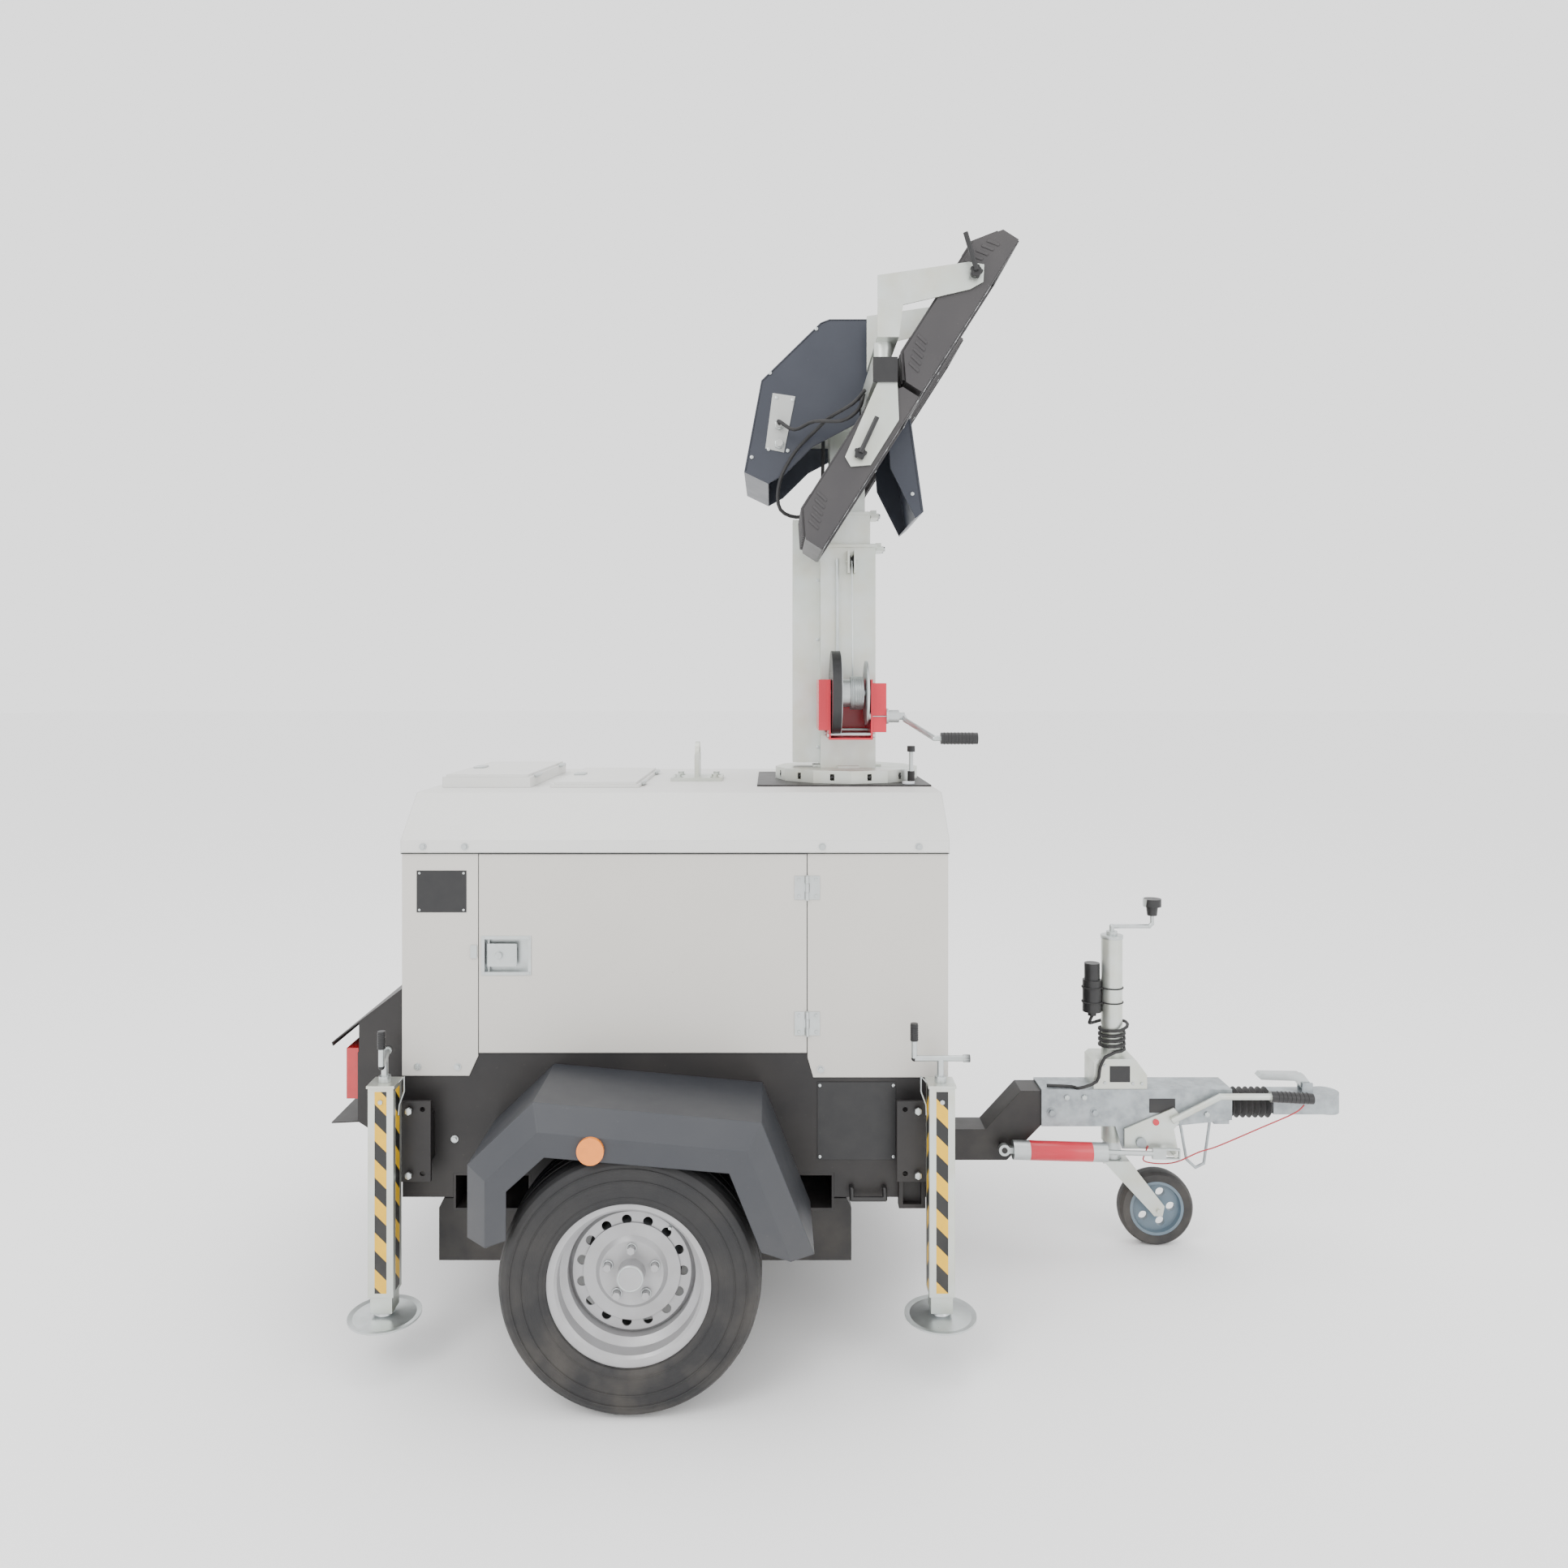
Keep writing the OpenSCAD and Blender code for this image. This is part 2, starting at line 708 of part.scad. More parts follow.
// Leaf to one side of the pin; dir is -1 towards the door.
module hinge_leaf(z, dir, z0, z1) {
    lo = dir < 0 ? hinge_x - 31 : hinge_x + 6;
    box([lo, -half_w - 2, z], [lo + 25, -half_w, z + hinge_h]);
    arm = dir < 0 ? hinge_x - 7 : hinge_x + 3;
    box([arm, -half_w - 2, z + z0], [arm + 4, -half_w, z + z1]);
    difference() {
        translate([hinge_x, -hinge_y, z + z0]) cylinder(r = hinge_r, h = z1 - z0, $fn = 32);
        translate([hinge_x, -hinge_y, z + z0 - over])
            cylinder(r = hinge_pin_r + fit, h = z1 - z0 + 2 * over, $fn = 32);
    }
    box([dir < 0 ? hinge_x - 4.5 : hinge_x + 3, -half_w - 2.8, z + z0],
        [dir < 0 ? hinge_x - 3 : hinge_x + 4.5, -half_w - 1, z + z1]);
}

module tie_loop(x) {
    z = skirt_bottom + 26;
    bent_rod([
        [x - 40, -skirt_y, z], [x - 40, -skirt_y - 16, z], [x - 40, -skirt_y - 24, z - 20],
        [x + 40, -skirt_y - 24, z - 20], [x + 40, -skirt_y - 16, z], [x + 40, -skirt_y, z]
    ], 6);
}

module panel_hardware() {
    color("#b9bcbd") {
        both_sides() {
            side_bolts([
                [body_back + 52, roof_edge - 15], [body_back + 154, roof_edge - 15],
                [door_x1 + 38, roof_edge - 15], [body_front - 72, roof_edge - 15]
            ], half_w + sheet);
            side_bolts([
                [body_back + 38, panel_bottom + 26], [body_back + 136, panel_bottom + 26],
                [door_x1 + 34, panel_bottom + 20]
            ], half_w);
            side_bolts([[body_back + 128, skirt_top - 210]], skirt_y);
            for (z = hinge_levels) {
                hinge_leaf(z, 1, 0, 18);
                hinge_leaf(z, 1, 40, 58);
                translate([hinge_x, -hinge_y, z - 2])
                    cylinder(r = hinge_pin_r, h = hinge_h + 4, $fn = 32);
            }
            box([door_x0 - 20, -half_w - 4, skirt_top + 234],
                [door_x0 - 4, -half_w, skirt_top + 266]);
        }
    }
    color("#1c1c1d") {
        both_sides() {
            box([body_front - 320, -skirt_y - 2, skirt_bottom + 92],
                [body_front - 128, -skirt_y, panel_bottom - 12]);
            tie_loop(body_front - 197);
        }
        box([body_back + 36, -half_w - 1.5, roof_edge - 176],
            [body_back + 158, -half_w, roof_edge - 74]);
    }
}

// ---------------------------------------------------------------- doors

latch_x0 = door_x0 + 6;
latch_x1 = latch_x0 + 122;
latch_z0 = skirt_top + 192;
latch_z1 = latch_z0 + 96;
latch_pin_r = 2.5;
paddle_x = latch_x0 + 16;
paddle_y = half_w - 9;

module latch_dish() {
    difference() {
        union() {
            box([latch_x0, -half_w - 2, latch_z0], [latch_x1, -half_w, latch_z1]);
            box([latch_x0 + 6, -half_w, latch_z0 + 6], [latch_x1 - 6, 22 - half_w, latch_z1 - 6]);
        }
        box([latch_x0 + 8, -half_w - 2 - over, latch_z0 + 8],
            [latch_x1 - 8, 20 - half_w, latch_z1 - 8]);
    }
    translate([paddle_x, -paddle_y, latch_z0 + 8])
        cylinder(r = latch_pin_r, h = latch_z1 - latch_z0 - 16, $fn = 32);
}

module door_right() {
    z0 = skirt_top + door_gap;
    x0 = door_x0;
    x1 = door_x1;
    tray = half_w - sheet - door_depth;
    color("#d6d4cf") {
        difference() {
            box([x0, -half_w, z0], [x1, -tray, door_top]);
            box([x0 + sheet, -half_w + sheet, z0 + sheet], [x1 - sheet, -tray + over, door_top - sheet]);
            box([latch_x0 + 6, -half_w - over, latch_z0 + 6],
                [latch_x1 - 6, sheet - half_w + over, latch_z1 - 6]);
        }
    }
    color("#c9cacb") {
        latch_dish();
        for (z = hinge_levels) hinge_leaf(z, -1, 18.5, 39.5);
    }
}

module door_left() {
    mirror([0, 1, 0]) door_right();
}

module latch_right() {
    z0 = latch_z0 + 20;
    z1 = latch_z1 - 20;
    color("#b4b6b8") {
        difference() {
            union() {
                box([paddle_x, -paddle_y - 6, z0], [paddle_x + 70, -paddle_y - 3, z1]);
                box([paddle_x + 67, -paddle_y - 8, z0], [paddle_x + 70, -paddle_y - 4, z1]);
                translate([paddle_x, -paddle_y, z0]) cylinder(r = 6, h = z1 - z0, $fn = 32);
            }
            translate([paddle_x, -paddle_y, z0 - over])
                cylinder(r = latch_pin_r + fit, h = z1 - z0 + 2 * over, $fn = 32);
        }
        along_y(paddle_x + 26, -paddle_y - 11, (z0 + z1) / 2) cylinder(r = 9, h = 5);
    }
}

module latch_left() {
    mirror([0, 1, 0]) latch_right();
}

// ---------------------------------------------------------------- stabilisers

// Puts a stabiliser part, made on the Z axis, at one corner of the trailer.
module at_leg(front, left) {
    mirror([0, left ? 1 : 0, 0])
        translate([front ? leg_front_x : leg_rear_x, -leg_y, 0])
            mirror([front ? 0 : 1, 0, 0])
                children();
}

cap_t = 6;

module stabiliser_tube() {
    inner = leg_y - skirt_y - leg_outer / 2;
    color("#c6c9c6") {
        difference() {
            union() {
                square_tube(0, 0, leg_outer, leg_wall, leg_bottom, leg_top);
                box([-leg_outer / 2 - 3, -leg_outer / 2 - 3, leg_top],
                    [leg_outer / 2 + 3, leg_outer / 2 + 3, leg_top + cap_t]);
            }
            translate([0, 0, leg_top - over]) cylinder(r = screw_r + seat, h = cap_t + 2 * over);
        }
    }
    color("#1f1e1f") {
        difference() {
            box([-leg_outer / 2 - 70, leg_outer / 2, skirt_bottom + 60],
                [leg_outer / 2, leg_outer / 2 + 8, panel_bottom - 40]);
            for (z = [skirt_bottom + 80, panel_bottom - 60])
                along_y(-leg_outer / 2 - 50, 0, z) cylinder(r = 6, h = leg_outer);
        }
        box([-leg_outer / 2 - 64, leg_outer / 2 + 8, skirt_bottom + 100],
            [-leg_outer / 2 - 20, leg_outer / 2 + inner, panel_bottom - 80]);
    }
}

module stabiliser_tubes() {
    for (front = [false, true], left = [false, true]) at_leg(front, left) stabiliser_tube();
}

module leg() {
    w = leg_inner;
    nut_z = leg_top - 42;
    color("#c6c9c6") {
        difference() {
            box([-w / 2, -w / 2, foot_z + 20], [w / 2, w / 2, leg_top - 22]);
            box([leg_wall - w / 2, leg_wall - w / 2, foot_z + 26],
                [w / 2 - leg_wall, w / 2 - leg_wall, nut_z]);
            translate([0, 0, nut_z - over]) cylinder(r = screw_r + seat, h = 22);
        }
        rotate_extrude($fn = 72) polygon([
            [0, foot_z + 6], [22, foot_z + 6], [foot_d / 2 - 12, foot_z], [foot_d / 2, foot_z + 3],
            [foot_d / 2, foot_z + 7], [foot_d / 2 - 12, foot_z + 5], [24, foot_z + 12],
            [20, foot_z + 20], [0, foot_z + 20]
        ]);
    }
}

module leg_front_right() {
    at_leg(true, false) leg();
}

module leg_front_left() {
    at_leg(true, true) leg();
}

module leg_rear_right() {
    at_leg(false, false) leg();
}

module leg_rear_left() {
    at_leg(false, true) leg();
}

crank_half = 62;
crank_z = leg_top + 61;
grip_h = 83;

module leg_crank() {
    color("#bfc2c2") {
        translate([0, 0, leg_top - 360]) cylinder(r = screw_r, h = crank_z - leg_top + 360);
        translate([0, 0, leg_top + cap_t + seat]) cylinder(r = 14, h = 14);
        rod([-crank_half, 0, crank_z], [crank_half - 8, 0, crank_z], 7);
        translate([-crank_half, 0, crank_z]) sphere(r = 7.3);
        rod([-crank_half, 0, crank_z], [-crank_half, 0, crank_z + 42], 7);
    }
    color("#1a1a1b") {
        rod([-crank_half, 0, crank_z + 42], [-crank_half, 0, crank_z + grip_h], 9);
        rod([crank_half - 8, 0, crank_z], [crank_half + 8, 0, crank_z], 9);
    }
}

rear_crank_turn = 78;

module leg_crank_front_right() {
    at_leg(true, false) leg_crank();
}

module leg_crank_front_left() {
    at_leg(true, true) leg_crank();
}

module leg_crank_rear_right() {
    at_leg(false, false) rotate(rear_crank_turn) leg_crank();
}

module leg_crank_rear_left() {
    at_leg(false, true) rotate(rear_crank_turn) leg_crank();
}

// ---------------------------------------------------------------- generator

module power_unit() {
    z0 = floor_z + 30;
    casting = 12;
    color("#4c5054") {
        difference() {
            union() {
                box([-380, -215, z0], [30, 215, z0 + 330]);
                box([-330, -150, z0 + 330], [-30, 150, z0 + 450]);
                along_x(30, 0, z0 + 165) cylinder(r = 160, h = 60);
            }
            box([casting - 380, casting - 215, z0 + casting],
                [30 - casting, 215 - casting, z0 + 330 - casting]);
            box([casting - 330, casting - 150, z0 + 320], [-30 - casting, 150 - casting, z0 + 438]);
        }
    }
    color("#3c6a9a") along_x(90 + seat, 0, z0 + 165) ring(130, 92, 250);
    for (x = [-350, -10, 300], y = [-100, 100])
        color("#1d1d1e") translate([x, y, floor_z]) cylinder(r = 22, h = z0 - floor_z);
    color("#3c6a9a") box([280, -125, z0], [320, 125, z0 + 36]);
    color("#202224") shell_box([-540, -260, floor_z], [-480, 260, z0 + 470], 3);
    color("#262626") shell_box([-380, 280, floor_z], [60, 470, z0 + 300], 4);
    color("#1d1d1e") shell_box([180, -480, floor_z], [380, -330, floor_z + 190], 20);
    color("#8e9296") along_x(-310, 0, z0 + 510) ring(60, 52, 260);
}

// ---------------------------------------------------------------- mast

module mast_tube(w, z0, z1) {
    square_tube(mast_x, 0, w, mast_wall, z0, z1);
}

// Four slide pads that fill the gap between two sections.
module slide_pads(w_in, w_out, z0, z1) {
    t = (w_out - w_in) / 2 - leg_gap;
    for (a = [0 : 90 : 270]) translate([mast_x, 0, 0]) rotate(a)
        box([w_out / 2 - t, -w_in / 3, z0], [w_out / 2, w_in / 3, z1]);
}

slot_count = 12;

module mast_section_1() {
    bore = mast_1_w - 2 * mast_wall;
    color("#c9ccc4") {
        mast_tube(mast_1_w, mast_foot, mast_1_top);
        translate([mast_x, 0, mast_foot - 16]) cylinder(r = spigot_r, h = 16);
        box([mast_x - mast_1_w / 2, -mast_1_w / 2, mast_foot],
            [mast_x + mast_1_w / 2, mast_1_w / 2, mast_foot + 8]);
        slide_pads(mast_2_w, bore, mast_1_top - 70, mast_1_top - 10);
        difference() {
            translate([mast_x, 0, roof_top + 4 + seat])
                cylinder(r = turntable_r, h = ring_top - roof_top - 4 - seat, $fn = slot_count);
            translate([mast_x, 0, roof_top])
                cylinder(r = turntable_r - 14, h = ring_top - roof_top - 5, $fn = slot_count);
            box([mast_x - mast_1_w / 2, -mast_1_w / 2, roof_top],
                [mast_x + mast_1_w / 2, mast_1_w / 2, ring_top + over]);
            for (a = [0 : 360 / slot_count : 359])
                translate([mast_x, 0, roof_top + 20]) rotate(a + 180 / slot_count)
                    box([turntable_r - 40, -6, -8], [turntable_r + 20, 6, 10]);
        }
        for (a = [0 : 90 : 270]) translate([mast_x, 0, 0]) rotate(a)
            box([mast_1_w / 2, -30, ring_top], [mast_1_w / 2 + 20, 30, ring_top + 6]);
    }
}

section_2_foot = mast_foot + 36;
section_3_foot = mast_foot + 76;

// Square collar round the top of a section, with its adjustable pad block.
module section_collar(w, z) {
    for (a = [0 : 90 : 270]) translate([mast_x, 0, 0]) rotate(a)
        box([w / 2, -w / 2, z - 9], [w / 2 + 4, w / 2, z]);
    translate([mast_x, 0, 0]) {
        box([w / 2 + 4, -44, z - 14], [w / 2 + 26, 44, z - 2]);
        box([w / 2 + 4, -38, z - 2], [w / 2 + 20, -10, z + 8]);
    }
}

module mast_section_2() {
    bore = mast_2_w - 2 * mast_wall;
    color("#cccfc6") {
        mast_tube(mast_2_w, section_2_foot, mast_2_top);
        slide_pads(mast_3_w, bore, mast_2_top - 70, mast_2_top - 10);
        section_collar(mast_2_w, mast_2_top);
    }
}

module mast_section_3() {
    color("#cfd1c8") {
        mast_tube(mast_3_w, section_3_foot, mast_3_top - 6);
        box([mast_x - 200, -197, mast_3_top - 6], [bar_x + bar_w / 2, 197, mast_3_top]);
    }
}

// Conduit behind the mast, and the rope pulleys on its right-hand face.
rope_x = mast_x + 8;
rope_y = mast_1_w / 2 + 14;
pulley_z = mast_1_top - 52;
pulley_r = 17;

module mast_fittings() {
    x1 = mast_x - mast_1_w / 2;
    color("#c9ccc4") {
        difference() {
            box([x1 - 78, -40, ring_top + 13], [x1, 40, mast_1_top + 73]);
            box([x1 - 75, -37, ring_top + 12], [x1 - 3, 37, mast_1_top + 74]);
            box([x1 - over, -41, mast_1_top], [x1 + 3, 41, mast_1_top + 80]);
        }
        for (s = [-1, 1])
            box([rope_x + 9 * s - 3, -rope_y - 30, pulley_z - 34],
                [rope_x + 9 * s + 3, -mast_1_w / 2, pulley_z + 30]);
        along_x(rope_x - 16, -rope_y - 8, pulley_z) cylinder(r = 4, h = 32);
        section_collar(mast_1_w, mast_1_top - 1);
    }
    color("#8f9294") along_x(rope_x - 5, -rope_y - 8, pulley_z) difference() {
        ring(pulley_r, 4 + fit, 10);
        translate([0, 0, 2.5]) ring(pulley_r + over, pulley_r - 5, 5);
    }
}

// ---------------------------------------------------------------- winch

winch_y = mast_1_w / 2 + 122;
winch_z = roof_top + 252;
winch_face = mast_1_w / 2;
pinion_y = winch_y + 34;
pinion_z = roof_top + 190;
drum_x = mast_x - 27;
drum_len = 58;
shaft_pin_r = 9;

module winch_frame() {
    z0 = roof_top + 127;
    z1 = roof_top + 289;
    y1 = winch_y + 48;
    xl = mast_x - 63;
    xr = mast_x + 50;
    color("#c8102e") {
        difference() {
            union() {
                box([xl, -winch_face - 5, z0], [xr + 5, -winch_face, z1]);
                box([xl, -y1, z0], [xl + 5, -winch_face - 5, z1]);
                box([xr, -y1, z0], [xr + 5, -winch_face - 5, z1]);
                box([xl + 5, -y1, z0], [xr, -winch_face - 5, z0 + 5]);
            }
            along_x(xl - over, -winch_y, winch_z) cylinder(r = shaft_pin_r + fit, h = xr - xl + 8);
            along_x(xr - over, -pinion_y, pinion_z) cylinder(r = 10 + fit, h = 8);
        }
        box([xl - 27, -winch_y - 40, z0 + 25], [xl, -winch_face - 20, z1]);
        difference() {
            box([xr + 5, -pinion_y - 10, z0 + 20], [xr + 42, -winch_face - 40, z1 - 10]);
            along_x(xr, -pinion_y, pinion_z) cylinder(r = 10 + fit, h = 50);
            along_x(xr, -winch_y, winch_z) cylinder(r = shaft_pin_r + 6, h = 12);
        }
    }
    color("#b9bcbd") for (p = [[winch_y - 60, z0 + 22], [winch_y + 36, z0 + 14]])
        along_x(xl + 5, -p[0], p[1]) cylinder(r = 5, h = xr - xl - 5);
    color("#262628") difference() {
        along_x(xl + 8, -winch_y, winch_z) cylinder(r = 115, h = 24, $fn = 72);
        along_x(xl + 11, -winch_y, winch_z) cylinder(r = 112, h = 30, $fn = 72);
        along_x(xl, -winch_y, winch_z) cylinder(r = shaft_pin_r + seat, h = 50);
        box([xl, -y1 - over, z0 - 20], [xl + 60, -winch_face - 4, z0 + 5 + seat]);
    }
}

module winch_drum() {
    xl = mast_x - 63;
    color("#c2c5c6") {
        along_x(xl, -winch_y, winch_z) cylinder(r = shaft_pin_r, h = 118);
        along_x(xl + 13, -winch_y, winch_z) cylinder(r = 108, h = 12, $fn = 72);
        along_x(xl + 25, -winch_y, winch_z) cylinder(r = 38, h = drum_len + 11);
        along_x(drum_x + drum_len + 7, -winch_y, winch_z) cylinder(r = 88, h = 6, $fn = 72);
        for (i = [0 : 5])
            along_x(drum_x + 24 + i * 6, -winch_y, winch_z) cylinder(r = 44 - (i % 2), h = 5.6);
    }
}

crank_grip = [mast_x + 212, -pinion_y - 158, pinion_z - 52];

module winch_crank() {
    xr = mast_x + 50;
    color("#c2c5c6") {
        along_x(xr - 4, -pinion_y, pinion_z) cylinder(r = 10, h = 96);
        along_x(xr + 42 + seat, -pinion_y, pinion_z) cylinder(r = 17, h = 34);
        bent_rod([
            [xr + 88, -pinion_y, pinion_z], [xr + 92, -pinion_y - 14, pinion_z - 10],
            crank_grip - [12, 0, 0], crank_grip + [12, 0, 0]
        ], 7);
    }
    color("#1a1a1b") along_x(crank_grip[0] + 4, crank_grip[1], crank_grip[2])
        cylinder(r = 15, h = 94);
}

module winch_rope() {
    a = [rope_x, 46.5 - winch_y, winch_z + 4];
    b = [rope_x, -rope_y - 22.3, pulley_z];
    color("#7d8184") swept_cord([a, (a + b) / 2, b], 2, [1, 0, 0]);
}

module slew_lock_pin() {
    z0 = roof_top + 4 + seat;
    color("#bfc2c2") at_lock_pin() translate([0, 0, z0]) cylinder(r = lock_pin_r, h = 84);
    color("#1a1a1b") at_lock_pin() translate([0, 0, z0 + 84]) cylinder(r = 11, h = 16);
}

// ---------------------------------------------------------------- lamps

tilt_x = cos(lamp_tilt);
tilt_z = sin(lamp_tilt);
meet_x = bar_x + 48;
meet_z = bar_bottom - 3;
lamp_gap = 7;
lower_mid = [meet_x - (lamp_len / 2 + lamp_gap) * tilt_x, meet_z - (lamp_len / 2 + lamp_gap) * tilt_z];
upper_mid = [meet_x + (lamp_len / 2 + lamp_gap) * tilt_x, meet_z + (lamp_len / 2 + lamp_gap) * tilt_z];
lower_pivot = lower_mid + 24 * [tilt_x, tilt_z];
upper_pivot = upper_mid + 90 * [tilt_x, tilt_z];
lamp_y1 = bar_half - 8;
lamp_y0 = lamp_y1 - lamp_w;
yoke_t = 4;
pivot_r = 8;

// Lamp on the right-hand side, its glass facing forwards and down.
module lamp(mid, pivot) {
    h = lamp_len / 2;
    t = lamp_t / 2;
    along = (pivot - mid) * [tilt_x, tilt_z];
    translate([mid[0], 0, mid[1]]) rotate([0, -lamp_tilt, 0]) {
        color("#4a4849") difference() {
            plate_xz([
                [-h, -t], [h, -t], [h, 0], [h - 60, t], [60 - h, t], [-h, 0]
            ], -lamp_y1, -lamp_y0);
            box([14 - h, 14 - lamp_y1, -t - over], [h - 14, -lamp_y0 - 14, 8 - t]);
            box([20 - h, 20 - lamp_y1, -t], [h - 20, -lamp_y0 - 20, 0]);
            box([66 - h, 30 - lamp_y1, -over], [h - 66, -lamp_y0 - 30, t - 12]);
        }
        color("#d9dde0")
            box([14 + seat - h, 14 + seat - lamp_y1, 3 - t],
                [h - 14 - seat, -lamp_y0 - 14 - seat, 8 - t - seat]);
        color("#4a4849") for (y = [-lamp_y1 - 6, -lamp_y0])
            along_y(along, y, 0) cylinder(r = pivot_r, h = 6);
    }
}

module lamp_upper_right() {
    lamp(upper_mid, upper_pivot);
}

module lamp_upper_left() {
    mirror([0, 1, 0]) lamp_upper_right();
}

module lamp_lower_right() {
    lamp(lower_mid, lower_pivot);
}

module lamp_lower_left() {
    mirror([0, 1, 0]) lamp_lower_right();
}

// Yoke plate in X and Z beside a lamp, with the bore of the tilt pivot.
module yoke_plate(points, pivot, y0) {
    difference() {
        plate_xz(points, y0, y0 + yoke_t);
        along_y(pivot[0], y0 - over, pivot[1]) cylinder(r = pivot_r + fit, h = yoke_t + 2 * over);
    }
}

function lower_yoke() = let (p = lower_pivot) [
    [bar_x - 18, bar_bottom], [p[0] - 36, p[1] - 6], [p[0] - 22, p[1] - 30],
    [p[0] + 26, p[1] - 26], [bar_x + 34, bar_bottom - 90], [bar_x + bar_w / 2, bar_bottom]
];

function upper_yoke() = let (p = upper_pivot) [
    [bar_x - 18, bar_top + 50], [bar_x - 18, p[1] - 4], [p[0] - 16, p[1] + 28],
    [p[0] + 22, p[1] + 22], [p[0] + 20, p[1] - 20], [p[0] - 12, p[1] - 38],
    [bar_x + 44, bar_top + 128], [bar_x + 34, bar_top + 50]
];

module clamp_lever(pivot, swing) {
    y = -lamp_y1 - yoke_t - 2;
    color("#1a1a1b") {
        along_y(pivot[0], y - 20, pivot[1]) cylinder(r = 13, h = 20);
        rod([pivot[0], y - 22, pivot[1]],
            [pivot[0] + 92 * cos(swing), y - 30, pivot[1] + 92 * sin(swing)], 6);
    }
}

module lamp_yokes() {
    plate_y = [-lamp_y1 - yoke_t - 2, 2 - lamp_y0];
    color("#cfd3d0") {
        for (y = plate_y) {
            yoke_plate(lower_yoke(), lower_pivot, y);
            yoke_plate(upper_yoke(), upper_pivot, y);
        }
        box([bar_x - 18, -lamp_y1 - yoke_t - 2, bar_top + 50],
            [bar_x + 34, 2 - lamp_y0 + yoke_t, bar_top + 50 + yoke_t]);
        translate([bar_x, -bar_half + 60, bar_top]) cylinder(r = 22, h = 50);
    }
    clamp_lever(lower_pivot, 65);
    clamp_lever(upper_pivot, 108);
}

module lamp_crossbar() {
    color("#cfd3d0") {
        difference() {
            box([bar_x - bar_w / 2, -bar_half, bar_bottom], [bar_x + bar_w / 2, bar_half, bar_top]);
            box([bar_x - bar_w / 2 + 4, -bar_half - over, bar_bottom + 4],
                [bar_x + bar_w / 2 - 4, bar_half + over, bar_top - 4]);
        }
        both_sides() lamp_yokes();
    }
    color("#2b2b2c") both_sides()
        box([bar_x - bar_w / 2, -bar_half - 6, bar_bottom], [bar_x + bar_w / 2, -bar_half, bar_top]);
    color("#3a3b3d") box([mast_x - 190, -120, mast_3_top], [mast_x - 60, 120, mast_3_top + 96]);
}

cover_half = 200;

function cover_back() = let (z = mast_3_top) [
    [mast_x - 226, z - 183], [mast_x - 292, z - 151], [mast_x - 245, z + 99],
    [mast_x - 83, z + 257], [mast_x - 59, z + 266], [bar_x + 14, z + 266],
    [bar_x + 100, z + 35], [bar_x + 141, z - 259], [bar_x + 119, z - 277]
];

module head_cover() {
    z = mast_3_top;
    side = concat(cover_back(), [
        [bar_x + 50, z - 140], [bar_x + 42, z - 20], [bar_x - 44, z - 20],
        [mast_x - 104, z - 82], [mast_x - 181, z - 158]
    ]);
    color("#3b3f4a") {
        folded_sheet(cover_back(), sheet, -cover_half, cover_half);
        for (y = [-cover_half, cover_half - sheet]) difference() {
            plate_xz(side, y, y + sheet);
            box([bar_x - bar_w / 2 - 3, y - over, bar_bottom - 3],
                [bar_x + bar_w / 2 + 3, y + sheet + over, bar_top + 3]);
        }
    }
    color("#c9cac8") for (y = [-cover_half - 2, cover_half])
        plate_xz([
            [mast_x - 234, z - 87], [mast_x - 214, z + 64], [mast_x - 152, z + 55],
            [mast_x - 183, z - 98]
        ], y, y + 2);
    color("#8b8d8c") for (dz = [-24, -76])
        along_y(mast_x - 196, -cover_half - 24, z + dz) cylinder(r = 10, h = 22);
}

cable_r = 5;
cable_y = -cover_half - 46;

module head_cable_loop() {
    z = mast_3_top;
    color("#232325") swept_cord(smooth_route([
        [bar_x - 36, -bar_half + 150, z + 20], [mast_x - 8, -370, z - 6],
        [mast_x - 63, -290, z - 23], [mast_x - 93, -238, z - 41], [mast_x - 153, -226, z - 101],
        [mast_x - 195, -222, z - 181], [mast_x - 193, -216, z - 256],
        [mast_x - 133, -190, z - 271], [mast_x - 83, -150, z - 211],
        [mast_x - 73, -120, z - 101], [mast_x - 73, -120, z - 6.6]
    ], 4), cable_r, [0, 0, 1]);
}

module head_cable_gland() {
    z = mast_3_top;
    x = mast_x - 196;
    color("#232325") swept_cord(smooth_route([
        [x, -cover_half - 24.8, z - 24], [x, cable_y - 4, z - 24], [x + 40, cable_y - 20, z - 50],
        [mast_x - 103, cable_y - 30, z - 30], [mast_x - 33, cable_y - 80, z - 40],
        [mast_x + 7, -bar_half + 190, z - 20],
        [bar_x - 36, -bar_half + 190, z + 20]
    ], 4), cable_r, [1, 0, 0]);
}

// ---------------------------------------------------------------- hitch

function drawbar_path(inset) = let (z = drawbar_z) let (w = drawbar_w) let (a = inset) [
    [body_front - 218 + a, z + a], [housing_x - 98 - a * 0.4, z + a],
    [housing_x + 4 - a * 0.4, z + 104 + a], [housing_x + 180 - a, z + 104 + a],
    [housing_x + 180 - a, housing_top - 6 - a], [housing_x - 58 + a * 0.4, housing_top - 6 - a],
    [housing_x - 160 + a * 0.4, z + w - 2 - a], [body_front - 218 + a, z + w - 2 - a]
];

module drawbar() {
    color("#1d1d1e") {
        difference() {
            plate_xz(drawbar_path(0), -drawbar_w / 2, drawbar_w / 2);
            plate_xz(drawbar_path(5), 5 - drawbar_w / 2, drawbar_w / 2 - 5);
        }
        box([body_front - 200, -drawbar_w / 2, drawbar_z + drawbar_w - 2],
            [body_front - 10, drawbar_w / 2, skirt_bottom]);
        along_y(housing_x - 113, -drawbar_w / 2 - 46, drawbar_z + 45) cylinder(r = 8, h = 46);
    }
}

